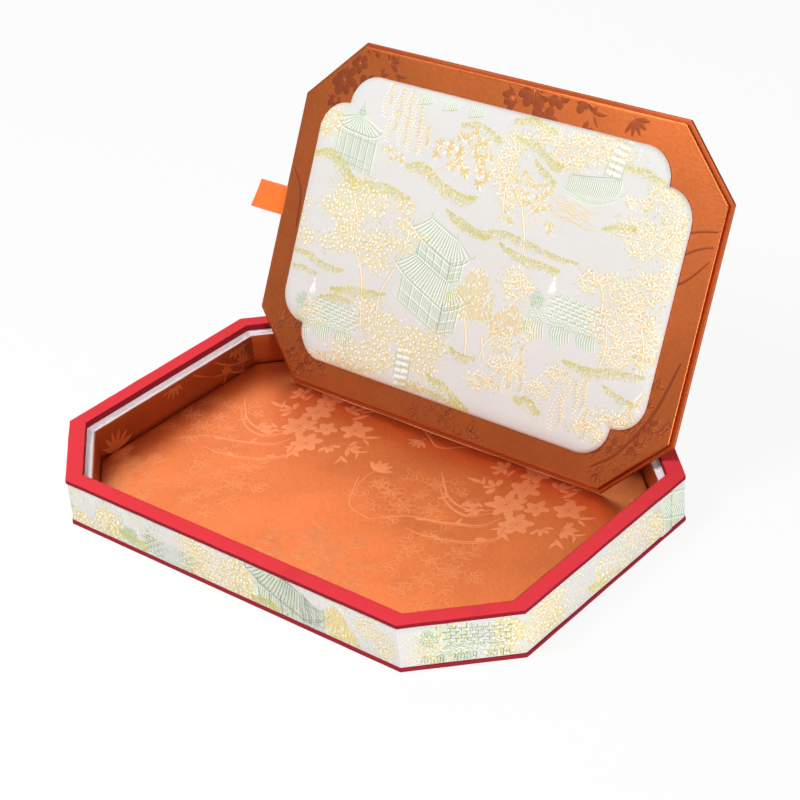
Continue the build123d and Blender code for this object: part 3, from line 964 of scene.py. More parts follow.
NEEDLES = [
    ([(72, 6, 7, 6), (88, 6, 11, 7), (104, 9, 10, 8), (114, 14, 6, 8)], [[(84, -8), (82, 2), (76, 10)]]),
    ([(86, -12, 11, 9), (102, -10, 12, 12), (114, -16, 6, 12), (98, -26, 9, 6)],
     [[(90, -34), (91, -24), (88, -12)], [(114, -32), (112, -18), (106, -4)]]),
    ([(60, 71, 20, 8), (44, 63, 10, 6), (30, 71, 10, 5)], []),
    ([(104, 57, 10, 5), (112, 46, 8, 7), (92, 50, 9, 3)], []),
    ([(94, 36, 12, 7), (112, 34, 8, 8), (98, 28, 8, 4)], [[(119, 26), (112, 34), (106, 40)]]),
    ([(10, 63, 8, 8), (8, 48, 8, 9), (14, 36, 7, 6)], [[(12, 28), (10, 40), (12, 52)]]),
    ([(30, -6, 9, 8)], [[(24, -2), (32, -4), (38, -8)]]),
    ([(30, -36, 9, 5), (58, -54, 8, 5), (104, -58, 11, 5)], []),
    ([(34, -50, 10, 6), (44, -26, 5, 7), (22, -60, 9, 4), (68, -44, 7, 4), (92, -66, 10, 4)],
     [[(40, -58), (38, -50), (32, -42)]]),
    ([(-96, -54, 8, 6), (-104, -62, 6, 5), (-90, -78, 10, 3)], []),
]
GRAINS = [
    ([(6, -14, 8, 10), (2, -24, 14, 9), (14, -22, 6, 9)],
     [[(9, -50), (7, -40), (3, -30)], [(20, -46), (16, -36)]]),
    ([(32, -26, 9, 8), (24, -30, 6, 5)], [[(18, -50), (20, -40), (28, -32)]]),
    ([(-68, -76, 22, 3), (-20, -75, 10, 3)], []),
]
STARS = [
    ([(20, 46, 9, 6), (32, 44, 8, 4), (28, 36, 12, 5), (14, 25, 5, 4), (42, 28, 5, 4)],
     [[(30, 11), (28, 20), (24, 30), (20, 40)], [(26, 22), (34, 28), (42, 30)],
      [(25, 28), (32, 36), (34, 46)]],
     2.6, 4.4),
    ([(-30, 51, 8, 6), (-14, 60, 12, 5), (-7, 52, 9, 6), (-6, 43, 6, 5), (-22, 43, 5, 4)],
     [[(-46, 34), (-30, 42), (-19, 52), (-8, 63)], [(-27, 44), (-16, 45), (-5, 43)],
      [(-24, 48), (-32, 52), (-38, 51)]], 4.3, 6.4),
    ([(-70, 43, 5, 3), (-62, 40, 5, 3), (112, -24, 5, 6), (30, -60, 6, 3)], [], 2.4, 4.2),
]
WILLOWS = [
    ([(-76, 80), (-69, 78), (-62, 78), (-55, 76)], 20), ([(-70, 66), (-62, 64), (-54, 64), (-47, 62)], 18),
    ([(42, -36), (46, -44), (38, -48)], 15), ([(78, -42), (84, -40), (72, -50)], 20), ([(88, -54)], 16),
    ([(112, -46), (118, -38)], 14),
]
BANKS = [
    ([(-122, 31), (-108, 35), (-96, 30), (-86, 23), (-68, 25), (-48, 21)], 6.5),
    ([(-56, 38), (-44, 41), (-32, 35), (-18, 31), (-6, 31)], 6),
    ([(-26, 66), (-16, 69), (-4, 66), (2, 62)], 3.5), ([(6, 75), (18, 78), (34, 74)], 3.5),
    ([(10, 67), (24, 66), (34, 60), (42, 58)], 4.5), ([(24, 58), (32, 54), (40, 49)], 4),
    ([(-24, 21), (-12, 18), (0, 15), (14, 18), (28, 17), (46, 14), (64, 13)], 3.5),
    ([(14, 12), (28, 9), (42, 8), (54, 7)], 4), ([(-20, 17), (-4, 14), (8, 13)], 3),
    ([(78, 66), (90, 67), (104, 62)], 4), ([(72, 33), (82, 38), (92, 37)], 3),
    ([(-121, -23), (-108, -23), (-96, -26), (-82, -27)], 3.5), ([(-118, -32), (-110, -31), (-99, -33)], 2.5),
    ([(-88, -38), (-72, -34), (-50, -32)], 5), ([(-94, -44), (-82, -41), (-70, -42)], 3.5),
    ([(68, -36), (84, -36), (98, -33), (116, -32)], 4.5), ([(94, -42), (106, -45), (116, -46)], 3),
    ([(-2, -48), (6, -50), (16, -49)], 4), ([(44, -62), (54, -61), (62, -66)], 5),
    ([(-12, -66), (0, -68), (10, -73), (18, -77)], 6), ([(-30, -76), (-10, -74), (16, -78)], 3),
]


def eave_end(loom, x, y):
    """The lower edge of a roof that the cloth's edge cuts off: short rows of tiles over an eave."""
    under(loom, "mist", [(x, y + 5.5, 5, 4)])
    spread = np.arange(-4, 4.5, 1.1)
    for thread, shift in (("green", 0), ("white", 0.55)):
        low = np.stack((x + spread + shift, y + 0.3 * spread), -1)
        loom.straight(thread, low, low + np.column_stack((0.25 * spread, np.full(len(spread), 9))), 0.5)
    loom.line("green", [(x - 5, y - 1), (x, y), (x + 5, y + 1.5)], 0.6)


def landscape(loom):
    """The panel's picture: groves, banks, water, towers, bridges and a boat."""
    for crowns, _ in BLOSSOMS + NEEDLES:
        undergrowth(loom, [(x, y, rx * 1.5, ry * 1.5) for x, y, rx, ry in crowns])
    for crowns, trunks in BLOSSOMS:
        blossom_tree(loom, crowns, trunks)
    for crowns, trunks in NEEDLES:
        needle_tree(loom, crowns, trunks)
    for crowns, trunks in GRAINS:
        grain_tree(loom, crowns, trunks)
    for crowns, trunks, size, gap in STARS:
        star_tree(loom, crowns, trunks, size, gap)
    for heads, run in WILLOWS:
        willow(loom, heads, run)
    for points, depth in BANKS:
        bank(loom, points, depth)
    kiosk(loom, -92, 28, 33, -0.08)
    pavilion(loom, -12, -44, 40)
    stone_bridge(loom, 62, -31, 40, 26)
    stone_bridge(loom, -88, -70, 40, 26)
    for x in (-52, -35, -18):
        eave_end(loom, x, 71.5)
    stair(loom, -28, -79, 10, 20, 95)
    stair(loom, 71, 58, 10, 21, 82)
    boat(loom, 62, 46, 38)
    walker(loom, 52, -6)
    walker(loom, -100, -45)
    ripples(loom, 40, 43, 32, 7)


def strip_run(loom, start, long):
    """The drawing on one side of the walls and the corner after it, from start along the strip, with its
    motifs cut by the cloth's edges. All its places are measured from start."""

    def moved(places):
        return [(start + x, *rest) for x, *rest in places]

    def plant(tree, crowns, trunks=()):
        tree(loom, moved(crowns), [moved(trunk) for trunk in trunks])

    reach, green = (275, (62, 236, 252)) if long else (190, (136, 150))
    undergrowth(loom, moved((s, 13, 12, 15) for s in np.arange(6, reach, 16)), 2.7, 0.0)
    undergrowth(loom, moved((s, 12, 10, 14) for s in green), 2.2, 0.3)
    if long:
        plant(blossom_tree, [(8, 5, 9, 5), (26, 10, 9, 9)], [[(27, 0), (26, 9)]])
        bank(loom, moved([(34, 10), (44, 9), (54, 6)]), 5)
        stone_bridge(loom, start + 62, -9, 44, 24)
        plant(needle_tree, [(84, 17, 13, 7), (98, 14, 12, 9), (106, 6, 8, 5)], [[(92, 0), (90, 12)]])
        plant(blossom_tree, [(114, 12, 13, 12), (88, 5, 12, 5)], [[(116, 0), (114, 10)]])
        bank(loom, moved([(124, 6), (136, 7), (142, 4)]), 5)
        pavilion(loom, start + 158, -8, 38, 1)
        storey(loom, start + 164, 1, 17, 14, 4)
        plant(grain_tree, [(178, 10, 8, 9), (186, 5, 6, 6)])
        plant(needle_tree, [(200, 17, 9, 6), (208, 10, 8, 7), (226, 10, 9, 10)])
        stone_bridge(loom, start + 246, -3, 38, 25)
        plant(blossom_tree, [(266, 16, 8, 7), (262, 6, 7, 5)])
    else:
        plant(needle_tree, [(8, 13, 9, 9), (22, 18, 11, 6)], [[(10, 0), (8, 12)]])
        plant(blossom_tree, [(22, 8, 8, 5), (38, 9, 8, 6), (38, 20, 8, 4)])
        bank(loom, moved([(48, 9), (62, 7), (76, 6)]), 5)
        plant(blossom_tree, [(64, 12, 10, 8), (80, 14, 12, 10), (96, 12, 12, 11)],
              [[(76, 0), (78, 12)], [(96, 0), (95, 10)]])
        plant(needle_tree, [(72, 8, 10, 7), (90, 17, 12, 7), (106, 10, 7, 9)])
        pavilion(loom, start + 140, -12, 38, 1)
        ripples(loom, start + 146, 20, 18, 3)
        plant(grain_tree, [(158, 8, 9, 8)])
        plant(needle_tree, [(174, 14, 9, 9)])
        bank(loom, moved([(162, 22), (174, 20), (186, 22)]), 4)


def bouquet(loom, fill, x, y, scale=1.0, turn=0.0, edge=None, stems=True):
    """A branch in bloom as the jacquard draws it: flowers of broad petals that nearly touch, half-open
    ones at the side, veined leaves between them and long curling stems. It is laid as filled shapes, as
    their edges, or both. Veins and stamens are breaks in the shapes, where the ground's thread shows."""
    rotate = ways((turn, turn + 90)) * scale
    rng = loom.rng

    def at(points):
        """Points of the branch's own drawing, turned, scaled and moved into the cloth."""
        return np.atleast_2d(np.asarray(points, float)) @ rotate + (x, y)

    def shapes(spots, swing, size, width, bend, blunt):
        """Petals, which are blunt and widest near their tips, or leaves, with a vein down each."""
        swing, size, width = (np.broadcast_to(np.asarray(v, float), (len(spots),))
                              for v in (swing, size, width))
        path = trail(at(spots), swing + turn, size * scale, bend, 9)
        ends, swell, peak = (0.22, 0.65, 0.6) if blunt else (0.06, 0.8, 0.42)
        if fill:
            loom.lay(fill, stroke(path, width * scale, ends, swell, peak))
            vein = path[:, 1:6] if blunt else path[:, 1:8]
            loom.lay("vein", stroke(vein, 0.45 if blunt else 0.35, ends=0.3))
        if edge:
            aside = ways(swing + turn + 90)
            half = width[:, None] / 2 * scale * taper(9, ends, swell, peak)
            for side in (-1, 1):
                rim = path + side * aside[:, None] * half[..., None]
                loom.lay(edge, stroke(rim, 0.5, ends=0.6))

    def flower(cx, cy, radius, petals, first, fan):
        """Petals fanned evenly about a centre, a smaller layer between them on full flowers, and stamens."""
        swing = first + (np.arange(petals) + rng.uniform(-0.12, 0.12, petals)) * fan / petals
        base = ways(swing) * radius * 0.1
        wide = 2 * math.pi * 0.66 * radius * (fan / 360) / petals * rng.uniform(0.85, 1.05, petals)
        long = radius * rng.uniform(0.8, 0.98, petals)
        shapes(base + (cx, cy), swing, long, wide, rng.uniform(-16, 16, petals), True)
        if petals > 4:
            shapes(base * 0.5 + (cx, cy), swing + fan / petals / 2, radius * 0.6, wide * 0.5, 8, True)
        if fill:
            inner = first + np.arange(9) * fan / 9
            stamens = trail(at([(cx, cy)] * 9), inner + turn, radius * 0.36 * scale, 10, 5)
            loom.lay("vein", stroke(stamens, 0.5, ends=0.4))

    for cx, cy, radius, petals, first, fan in (
        (-2, -2, 12, 7, 10, 360), (14, -14, 10.5, 6, 40, 360), (-3, 16, 10, 6, 0, 360),
        (30, 12, 9.5, 5, 50, 360), (14, 4, 7.5, 5, 20, 360), (-17, 9, 8.5, 4, 110, 200),
        (38, -5, 8, 4, -60, 200), (-13, -13, 7.5, 3, 190, 150), (27, -10, 7.5, 4, -100, 170),
        (-6, 31, 8.5, 5, 10, 360), (-24, 26, 8.5, 4, 100, 190), (13, 26, 7.5, 4, 0, 200),
    ):
        flower(cx, cy, radius, petals, first, fan)
    foot = np.array([(-13, -10), (9, -19), (37, -5), (-10, -12), (20, 20), (-20, 22), (38, 8), (12, -24),
                     (-26, 8), (18, 30), (40, -14), (-6, 24)], float)
    way = np.array((205, 280, 5, 245, 60, 130, 25, 320, 165, 80, -40, 100)) + rng.uniform(-12, 12, 12)
    shapes(foot, way, rng.uniform(9, 12, 12), rng.uniform(3.2, 4.4, 12), 20, False)
    shapes(foot + (1.5, -1), way - 42, rng.uniform(6, 9, 12), rng.uniform(2.4, 3.2, 12), -14, False)
    if not stems:
        return
    for points in (
        [(-4, -10), (-16, -17), (-32, -14), (-46, -2), (-52, 4)],
        [(-2, -12), (-14, -22), (-30, -19), (-44, -8)],
        [(4, -14), (-2, -26), (-20, -34), (-40, -40), (-56, -54)],
        [(10, -16), (13, -30), (2, -42), (-20, -50), (-34, -50)], [(36, 2), (44, -4), (50, -12)],
    ):
        curve = smooth_path(points, 30)[0]
        loom.lay(fill or edge, stroke(at(curve)[None], 1.2, ends=0.3))
        loom.lay(fill or edge, stroke(at(curve + (1.3, -1.0))[None, 4:22], 0.7, ends=0.3))
    shoots = np.array([(-22, -16), (-33, -13), (-14, -32), (-30, -37), (4, -38), (-12, -48), (46, -6)], float)
    shapes(shoots, np.array((60, 215, 80, 190, 20, 160, 30)), 7.0, 2.6, 30, False)
    shapes(shoots, np.array((100, 175, 40, 230, 60, 200, -40)), 6.0, 2.2, -30, False)


def spray(loom, thread, x, y, turn, size=1.0):
    """A bud with five narrow leaves on a bent stem."""
    swing = np.array((-60, -30, 0, 30, 60)) + turn
    loom.lay(thread, leaves(np.repeat([(x, y)], 5, 0), swing, 7.5 * size, 3.0 * size, 8, 7))
    loom.lay(thread, stroke(trail((x, y), turn + 180, 16 * size, 40, 10), 0.8, ends=0.4))


def settings():
    """The scene's sizes, colours and light levels."""
    scene = bpy.context.scene
    return scene.brocade_box_sizes, scene.brocade_box_colours, scene.brocade_box_stage


# Room left under the floor solid's top for the sway of its satin, in millimetres.
FLOOR_SWAY_ROOM = 0.25


def floor_level(points):
    """Level of the floor's satin: it rises from its edge as 1 - (1 - depth / shoulder) cubed, and sways
    a little where the wadding is thicker or thinner, with one dent where something has been stood."""
    sizes = settings()[0]
    depth = octagon_depth(points, FLOOR_INSET)
    low = FLOOR_LOW + sizes.floor_side / MM
    rise = 1 - (1 - np.clip(depth / (sizes.floor_shoulder / MM), 0, 1)) ** 3
    x, y = points.T
    sway = (np.sin(x / 21 + 1.3) * np.sin(y / 17 + 0.4) + 0.7 * np.sin(x / 11 - y / 14 + 2.0)
            + 0.4 * np.sin(x / 6.5 + y / 8.0))
    dent = np.exp(-((x - 50) ** 2 / 150 + (y + 9) ** 2 / 60))
    level = low + (FLOOR_HIGH - FLOOR_SWAY_ROOM - low) * rise
    return level + (sizes.floor_sway / MM) * sway * np.clip(depth / 8, 0, 1) - 0.5 * dent


PANEL_RING = scalloped_ring()
# The panel's shoulder, rounded up: the scallops matter to the depth only this near to them.
PANEL_REACH = 12
# Threads stop this far short of a cloth's edge.
EDGE_BARE = 0.35


def panel_depth(points):
    """Distance in from the panel's outline: from its straight sides, or near a corner from the scallops
    too."""
    x, y = np.abs(points - (PANEL_SHIFT, 0)).T
    depth = np.minimum(PANEL_LENGTH / 2 - x, PANEL_WIDTH / 2 - y)
    reach = 2 * LOBE + NOTCH + PANEL_REACH
    corner = (x > PANEL_LENGTH / 2 - reach) & (y > PANEL_WIDTH / 2 - reach) & (depth > -1)
    depth[corner] = depth_inside(points[corner], PANEL_RING)
    return depth


def panel_level(points):
    """Height of the panel over the lid: a low side, then a round shoulder that is a superellipse of the
    depth inside the outline, with a faint sway where the wadding is thicker or thinner."""
    sizes = settings()[0]
    depth = panel_depth(points)
    side = sizes.panel_side / MM
    share = 1 - np.clip(depth / (sizes.panel_shoulder / MM), 0, 1)
    rise = np.sqrt(np.clip(1 - share ** 2.3, 0, 1))
    x, y = points.T
    sway = 0.07 * np.sin(x / 17 + 0.6) * np.sin(y / 13 + 1.1) + 0.05 * np.sin(x / 9 - y / 12)
    return FRONT_HIGH + side + (PANEL_THICK - side - 0.1) * rise + sway * np.clip(depth / 12, 0, 1)


class BoxOperator(Operator):
    bl_options = {"REGISTER", "UNDO"}


class BROCADEBOX_OT_boards(BoxOperator):
    """Gives the hidden boards the look of raw grey board"""
    bl_idname = "brocade_box.boards"
    bl_label = "Boards"

    def execute(self, context):
        tint = settings()[1].board
        # Greyboard, pressed from waste paper: dull, with a faint felt-like grain.
        grey = cloth("greyboard_pressed", tint, "plain", 1.2, 0.02, cast=0.12, roughness=0.95,
                     specular_ior_level=0.2)
        for subpart in frame["record"]["subparts"]:
            if subpart["material_slot"] == "greyboard":
                piece = frame["nodes"][subpart["node"]]
                piece.data.materials.clear()
                piece.data.materials.append(grey)
        return {"FINISHED"}


class BROCADEBOX_OT_base(BoxOperator):
    """Wraps the base board in dark red cloth"""
    bl_idname = "brocade_box.base"
    bl_label = "Base cloth"

    def execute(self, context):
        # Book cloth, a plain cotton weave filled with starch: matt, with a fine regular grain.
        red = cloth("base_book_cloth", settings()[1].base, "plain", 0.9, 0.05, uv=True, roughness=0.75,
                    specular_ior_level=0.2)
        t, top, turn_in, soft = BOARD_CLOTH, WALL_LOW, BASE_TURN_IN, 0.6
        # The wrap's underside and the sheet in the middle overlap by a millimetre.
        wrap_in = 40
        profile = [(turn_in, top), *quarter(soft, top - soft, soft, 90), *quarter(soft, soft, soft, 0)]
        profile += [(wrap_in, 0), (wrap_in, t), (t, t), (t, top - t), (turn_in, top - t)]
        edge = band("base_cloth_wrap", profile, 0.7,
                    sway=lambda a, row: (0.05 * waves(a, (9, 23, 41), 3), 0.0))
        dress(edge, red, TRAY, "base_cloth", "base_cloth")
        under = towards_middle(octagon_ring(wrap_in - 1, 0.7), [0, 0.5, 1])
        lower = np.concatenate((under, under[::-1]))
        height = np.zeros(lower.shape[:2] + (1,))
        height[len(under):] = t
        points = np.concatenate((lower, height), -1)
        middle = grid_piece("base_cloth_middle", points, planar=lower, closed_rows=True)
        dress(middle, red, TRAY, "base_cloth", "base_cloth")
        return {"FINISHED"}


class BROCADEBOX_OT_wall(BoxOperator):
    """Glues the brocade strip round the walls, with its lap, and weaves its landscape"""
    bl_idname = "brocade_box.wall"
    bl_label = "Wall brocade"

    def execute(self, context):
        ivory = brocade_ground()
        # The strip stands 0.05 mm high, clear of the base cloth and tucked under the rim cloth.
        low, high, out = WALL_LOW + 0.05, WALL_HIGH + 0.05, WALL_INSET
        soft, bend, side = 0.3, 1.6, 30
        profile = [*quarter(out + soft, high - soft, soft, 90, steps=4),
                   *quarter(out + soft, low + soft, soft, 0, steps=4),
                   (out + WALL_THICK, low), (out + WALL_THICK, high)]
        strip = band("wall_brocade_strip", profile, bend, side=side,
                     sway=lambda a, row: (0.06 * waves(a, (7, 19, 31), 5), 0.0))
        dress(strip, ivory, TRAY, "brocade", "wall_brocade")
        lap_start = octagon_corners(out)[2][1] - LAP_FROM_CORNER - WALL_LAP
        # Across the lap: how far along the wall each point is, and how far out from its face.
        across = np.array(((0, -0.2), (0, LAP_STEP - 0.05), (0.15, LAP_STEP), (5, LAP_STEP),
                           (WALL_LAP, LAP_STEP - 0.05), (WALL_LAP, -0.2))) + (lap_start, LENGTH / 2 - out)
        levels = (low, low + 0.1, (low + high) / 2, high - 0.1, high)
        points = np.stack([np.column_stack((across[:, ::-1], np.full(len(across), z))) for z in levels])
        lap = grid_piece("wall_brocade_lap", points)
        dress(lap, ivory, TRAY, "brocade", "wall_brocade")

        def lapped(spot):
            on_lap = (spot[:, 0] > 0) & (spot[:, 1] > lap_start) & (spot[:, 1] < lap_start + WALL_LAP)
            return LAP_STEP * on_lap

        # A point of an arc moves straight out with the wall where the arc's radius grows with it.
        place, along = wrapped(octagon_ring(out, bend, side), octagon_ring(out - 1, bend + 1, side), lapped)
        start = side_runs(side, along)[0]
        loom = Loom(11)
        for begin, long in ((start[7] - along[-1], True), (start[7], True), (start[1], False),
                            (start[3], True), (start[5], False)):
            strip_run(loom, begin, long)
        weave_brocade(loom, "wall", place, lambda xy: (xy[:, 1] > low + 0.4) & (xy[:, 1] < high - 0.3), TRAY)
        return {"FINISHED"}


def wrapped(ring, beyond, step=None):
    """How a flat drawing goes round the box: x runs along the ring, y is the level, and a thread's height
    moves it towards the ring beyond, a millimetre away. step, if given, is a further height at each spot of
    the ring.

    It returns that function, and how far along the ring each of its points lies.
    """
    closed, along = closed_run(ring)
    far = closed_run(beyond)[0]

    def place(xy, lift):
        run = np.mod(xy[:, 0], along[-1])
        base, ahead = (np.stack([np.interp(run, along, path[:, k]) for k in (0, 1)], -1)
                       for path in (closed, far))
        if step is not None:
            lift = lift + step(base)
        return np.concatenate((base + (ahead - base) * lift[:, None], xy[:, 1:]), 1)

    return place, along


_made = {}


def once(name, make):
    """A material that several pieces share is made the first time that it is asked for."""
    if name not in _made:
        _made[name] = make()
    return _made[name]


def brocade_ground():
    """The ground of both brocades."""
    # Brocade ground, a close satin weave of ivory rayon: smooth, with a soft sheen and a faint vertical
    # grain.
    return once("ground", lambda: cloth("brocade_ivory_satin_weave", settings()[1].ivory, "satin", 0.9, 0.03,
                                        uv=True, cast=0.03, roughness=0.55, specular_ior_level=0.35))


def weave_brocade(loom, prefix, place, inside, body):
    """Weaves every thread of a brocade: the pale ones lie level with the ground and the others stand up
    by the relief."""
    sizes, colours, _ = settings()
    relief = sizes.thread_relief / MM
    # Brocade figure threads: flat rayon and metallised floats that lie over the ground, so they shine a
    # little. For each: its roughness, how much of it is metal, and its relief.
    finishes = {"straw": (0.5, 0.0, 0.0), "mist": (0.5, 0.0, 0.0), "gold": (0.4, 0.1, relief),
                "olive": (0.45, 0.05, relief), "green": (0.5, 0.0, relief), "white": (0.45, 0.0, relief)}
    for thread, (rough, metal, stand) in finishes.items():
        yarn = once(thread, lambda: cloth(f"brocade_thread_{thread}", getattr(colours, thread), "satin", 0.6,
                                          0.03, uv=True, cast=0.06, roughness=rough, metallic=metal,
                                          specular_ior_level=0.35))
        loom.weave(thread, f"{prefix}_{thread}_threads", place, inside, stand, yarn, body, "brocade")


class BROCADEBOX_OT_rim(BoxOperator):
    """Wraps the rim board in red cloth, with the lip over its inner edge"""
    bl_idname = "brocade_box.rim"
    bl_label = "Rim cloth"

    def execute(self, context):
        # Book cloth with a faint rib, woven and then pressed: matt red with a slight bloom at grazing
        # angles.
        colours = settings()[1]
        # Radii of its folds: over the inner edge, the upper outer edge and the lower one.
        lip, edge, foot = 0.9, 0.35, 0.3
        red = cloth("rim_ribbed_book_cloth", colours.rim, "rib", 0.8, 0.05, cast=0.05, roughness=0.8,
                    specular_ior_level=0.12)
        # Painted shade: everywhere below its top face the cloth's colour is mixed by height to a darker red, for
        # the shade on both folded edges, where its cords turn from the light.
        tree = red.node_tree
        skin = tree.nodes["Principled BSDF"].inputs["Base Color"]
        flat = skin.links[0].from_socket
        spot = add(tree, "ShaderNodeTexCoord").outputs["Object"]
        level = add(tree, "ShaderNodeSeparateXYZ", {"Vector": spot}).outputs["Z"]
        share = add(tree, "ShaderNodeMapRange", {"Value": level, "From Min": (TRAY_TOP - edge) * MM,
                                                 "From Max": (TRAY_TOP - 0.05) * MM})
        folded = add(tree, "ShaderNodeMix", {0: share.outputs["Result"], MIX_A: rgba(colours.rim_edge_shade),
                                             MIX_B: flat}, data_type="RGBA")
        tree.links.new(folded.outputs[MIX_COLOUR], skin)
        top, low, inner, t, turn_in = TRAY_TOP, WALL_HIGH + GLUE_GAP, RIM_WIDTH, BOARD_CLOTH, 5.3
        profile = [(inner, LIP_LOW), *quarter(inner - lip, top - lip, lip, 180), (inner / 2 + 1, top),
                   (inner / 2 - 1, top), *quarter(edge, top - edge, edge, 90),
                   *quarter(foot, low + foot, foot, 0), (turn_in, low), (turn_in, low + t), (t, low + t),
                   (t, top - t), (inner - t, top - t), (inner - t, LIP_LOW)]

        def sway(a, row):
            """Small waves inwards in all rows but the lip's lower edge, and up and down in rows 1 to 13,
            its top."""
            return (0.07 * waves(a, (11, 26, 43), 7) * (row > 0),
                    0.05 * waves(a, (8, 17, 37), 8) * ((row >= 1) & (row <= 13)))

        wrap = band("rim_cloth_wrap", profile, 0.7, side=36, sway=sway)
        dress(wrap, red, TRAY, "rim_cloth", "rim_cloth")
        return {"FINISHED"}


class BROCADEBOX_OT_ledge(BoxOperator):
    """Lays the white satin on the ledge under the rim"""
    bl_idname = "brocade_box.ledge"
    bl_label = "Ledge satin"

    def execute(self, context):
        sizes, colours, _ = settings()
        # Polyester satin, heat-set: bright soft highlights along its folds.
        white = cloth("white_polyester_satin", colours.ledge, "satin", 0.7, 0.03, uv=True, cast=0.04,
                      roughness=0.32, sheen_weight=0.2)
        top, face = LEDGE_TOP, STRIP_INSET
        end = LINER_OUT - 0.05
        profile = [(face - SATIN, WALL_HIGH - 0.1), (face, WALL_HIGH - 0.1), (face + 0.05, top + 1.0),
                   *quarter(face + 0.8, top + 0.7, 0.7, 180, 90, 4), (face + 1.9, top),
                   (face + 2.9, top + 0.03), (end, top - 0.05), (end, top - SATIN),
                   (face - SATIN, top - SATIN)]
        depth = sizes.pucker / MM

        def sway(a, row):
            """Wrinkles across the ledge, deepest at row 6, which is where it bends, and gone four rows
            away."""
            fold = np.clip(1 - abs(row - 6) / 4, 0, 1)
            wave = waves(a, (31, 57, 83, 122, 161, 207), 9)
            return 0.4 * depth * wave * fold, depth * np.clip(wave, -0.4, 2) * fold

        satin = band("ledge_satin_cover", profile, 0.9, side=140, sway=sway)
        dress(satin, white, TRAY, "white_satin", "ledge_satin")
        return {"FINISHED"}


def copper_satin():
    """The satin of the floor and of the lid's front."""
    # Jacquard satin of copper polyester: long floats that throw light back like metal, so it is bright
    # where it faces the light and sinks to brown where it turns away.
    return once("copper", lambda: cloth("copper_jacquard_satin", settings()[1].copper, "satin", 0.9, 0.06,
                                        turn=35, cast=0.1, roughness=0.37, metallic=0.9,
                                        specular_ior_level=0.3))


def upright_shaded_satin():
    """The satin of the inner walls and of the lid's back."""
    # The same jacquard satin laid with its floats upright and rougher, so that it mirrors less round it, and
    # painted a darker copper for the shade that the inner walls lie in.
    return once("upright", lambda: cloth("copper_satin_upright", settings()[1].liner, "satin", 0.9, 0.06,
                                         turn=90, cast=0.1, roughness=0.5, metallic=0.85,
                                         specular_ior_level=0.2))


def figure_satin(kind):
    """The figure's satin in one of its four finishes."""
    # The jacquard's figure is the same yarn floated the other way, so it shines where the ground does not. That
    # shine is painted into the tints: a lighter one for a figure that catches the light, a darker one for a figure
    # turned from the light, and a soft one a little darker than the ground; a line is a single float that only
    # breaks the ground's surface.
    colours = settings()[1]
    tint = {"light": colours.figure_light, "dull": colours.figure_dark, "soft": colours.figure_soft,
            "line": colours.figure_line}[kind]
    return once(kind, lambda: cloth(f"copper_figure_{kind}", tint, "satin", 0.9, 0.02, turn=-55, cast=0.05,
                                    roughness=0.42, metallic=0.75, specular_ior_level=0.3))


def weave_figures(loom, prefix, place, inside, body):
    """Weaves every thread of a satin's figure: lines lie lowest, then the shapes, then the ground that
    breaks them."""
    relief = settings()[0].figure_relief / MM
    for thread in loom.threads:
        stand = relief * {"line": 0.6, "vein": 1.25}.get(thread, 1.0)
        satin = copper_satin() if thread == "vein" else figure_satin(thread)
        loom.weave(thread, f"{prefix}_{thread}_figure", place, inside, stand, satin, body, "copper_satin")


class BROCADEBOX_OT_liner(BoxOperator):
    """Lines the inner walls with copper satin over its card"""
    bl_idname = "brocade_box.liner"
    bl_label = "Liner satin"

    def execute(self, context):
        relief = settings()[0].figure_relief / MM
        top, outer, inner, low = LINER_TOP, LINER_OUT, LINER_IN, FLOOR_LOW + GLUE_GAP
        fold, side = 0.42, 40
        # Up the back, over the card's top edge, down the face, and back along the side that is glued to the
        # card.
        profile = [(outer, low), (outer, top - SATIN),
                   *quarter((outer + inner) / 2, top - fold, fold, 0, 180, 7),
                   (inner, 16), (inner, 8), (inner, low), (inner - SATIN, low), (inner - SATIN, 12),
                   (inner - SATIN, LINER_BACK_TOP), (outer + SATIN, LINER_BACK_TOP), (outer + SATIN, low)]

        def sway(a, row):
            """Small waves in rows 2 to 11, the top and the face; only the rows down to the floor go up
            and down."""
            return (0.05 * waves(a, (13, 29, 47), 12) * ((row > 1) & (row < 12)),
                    0.07 * waves(a, (17, 38, 61), 13) * ((row > 1) & (row < 10)))

        lining = band("liner_satin_cover", profile, 1.0, side=side, sway=sway)
        dress(lining, upright_shaded_satin(), TRAY, "copper_satin", "liner_satin")
        loom = Loom(21)
        place, along = wrapped(octagon_ring(inner, 1.0, side), octagon_ring(inner + 1, 0.5, side))
        middle = sum(side_runs(side, along)) / 2
        for number, shift in ((5, 0), (1, 0), (7, -60), (7, 70), (3, -60), (3, 70)):
            s = middle[number] + shift
            for foot, swings, size in (((s + 4, 22.5), (-140, -112, -86, -60, -35), 9.5),
                                       ((s - 47, 22.5), (-165, -135, -105, -75, -45), 9.0),
                                       ((s + 50, 4.0), (20, 48, 74, 100, 128, 155), 12.0)):
                loom.lay("light", leaves(np.repeat([foot], len(swings), 0), swings, size, size * 0.34, 14, 8))
            for points in ([(s - 8, 22), (s - 18, 16), (s - 28, 11), (s - 38, 9)],
                           [(s - 38, 9), (s - 46, 5), (s - 54, 3)],
                           [(s - 24, 23), (s - 34, 16), (s - 44, 11), (s - 58, 9)]):
                loom.line("light", points, 1.3)
            spray(loom, "light", s - 36, 9, 110, 0.7)
            spray(loom, "light", s - 50, 10, 100, 0.8)
        loom.weave("light", "liner_figure", place, lambda xy: (xy[:, 1] > 3.0) & (xy[:, 1] < top - 1.0),
                   relief, figure_satin("soft"), TRAY, "copper_satin", flip=True)
        return {"FINISHED"}


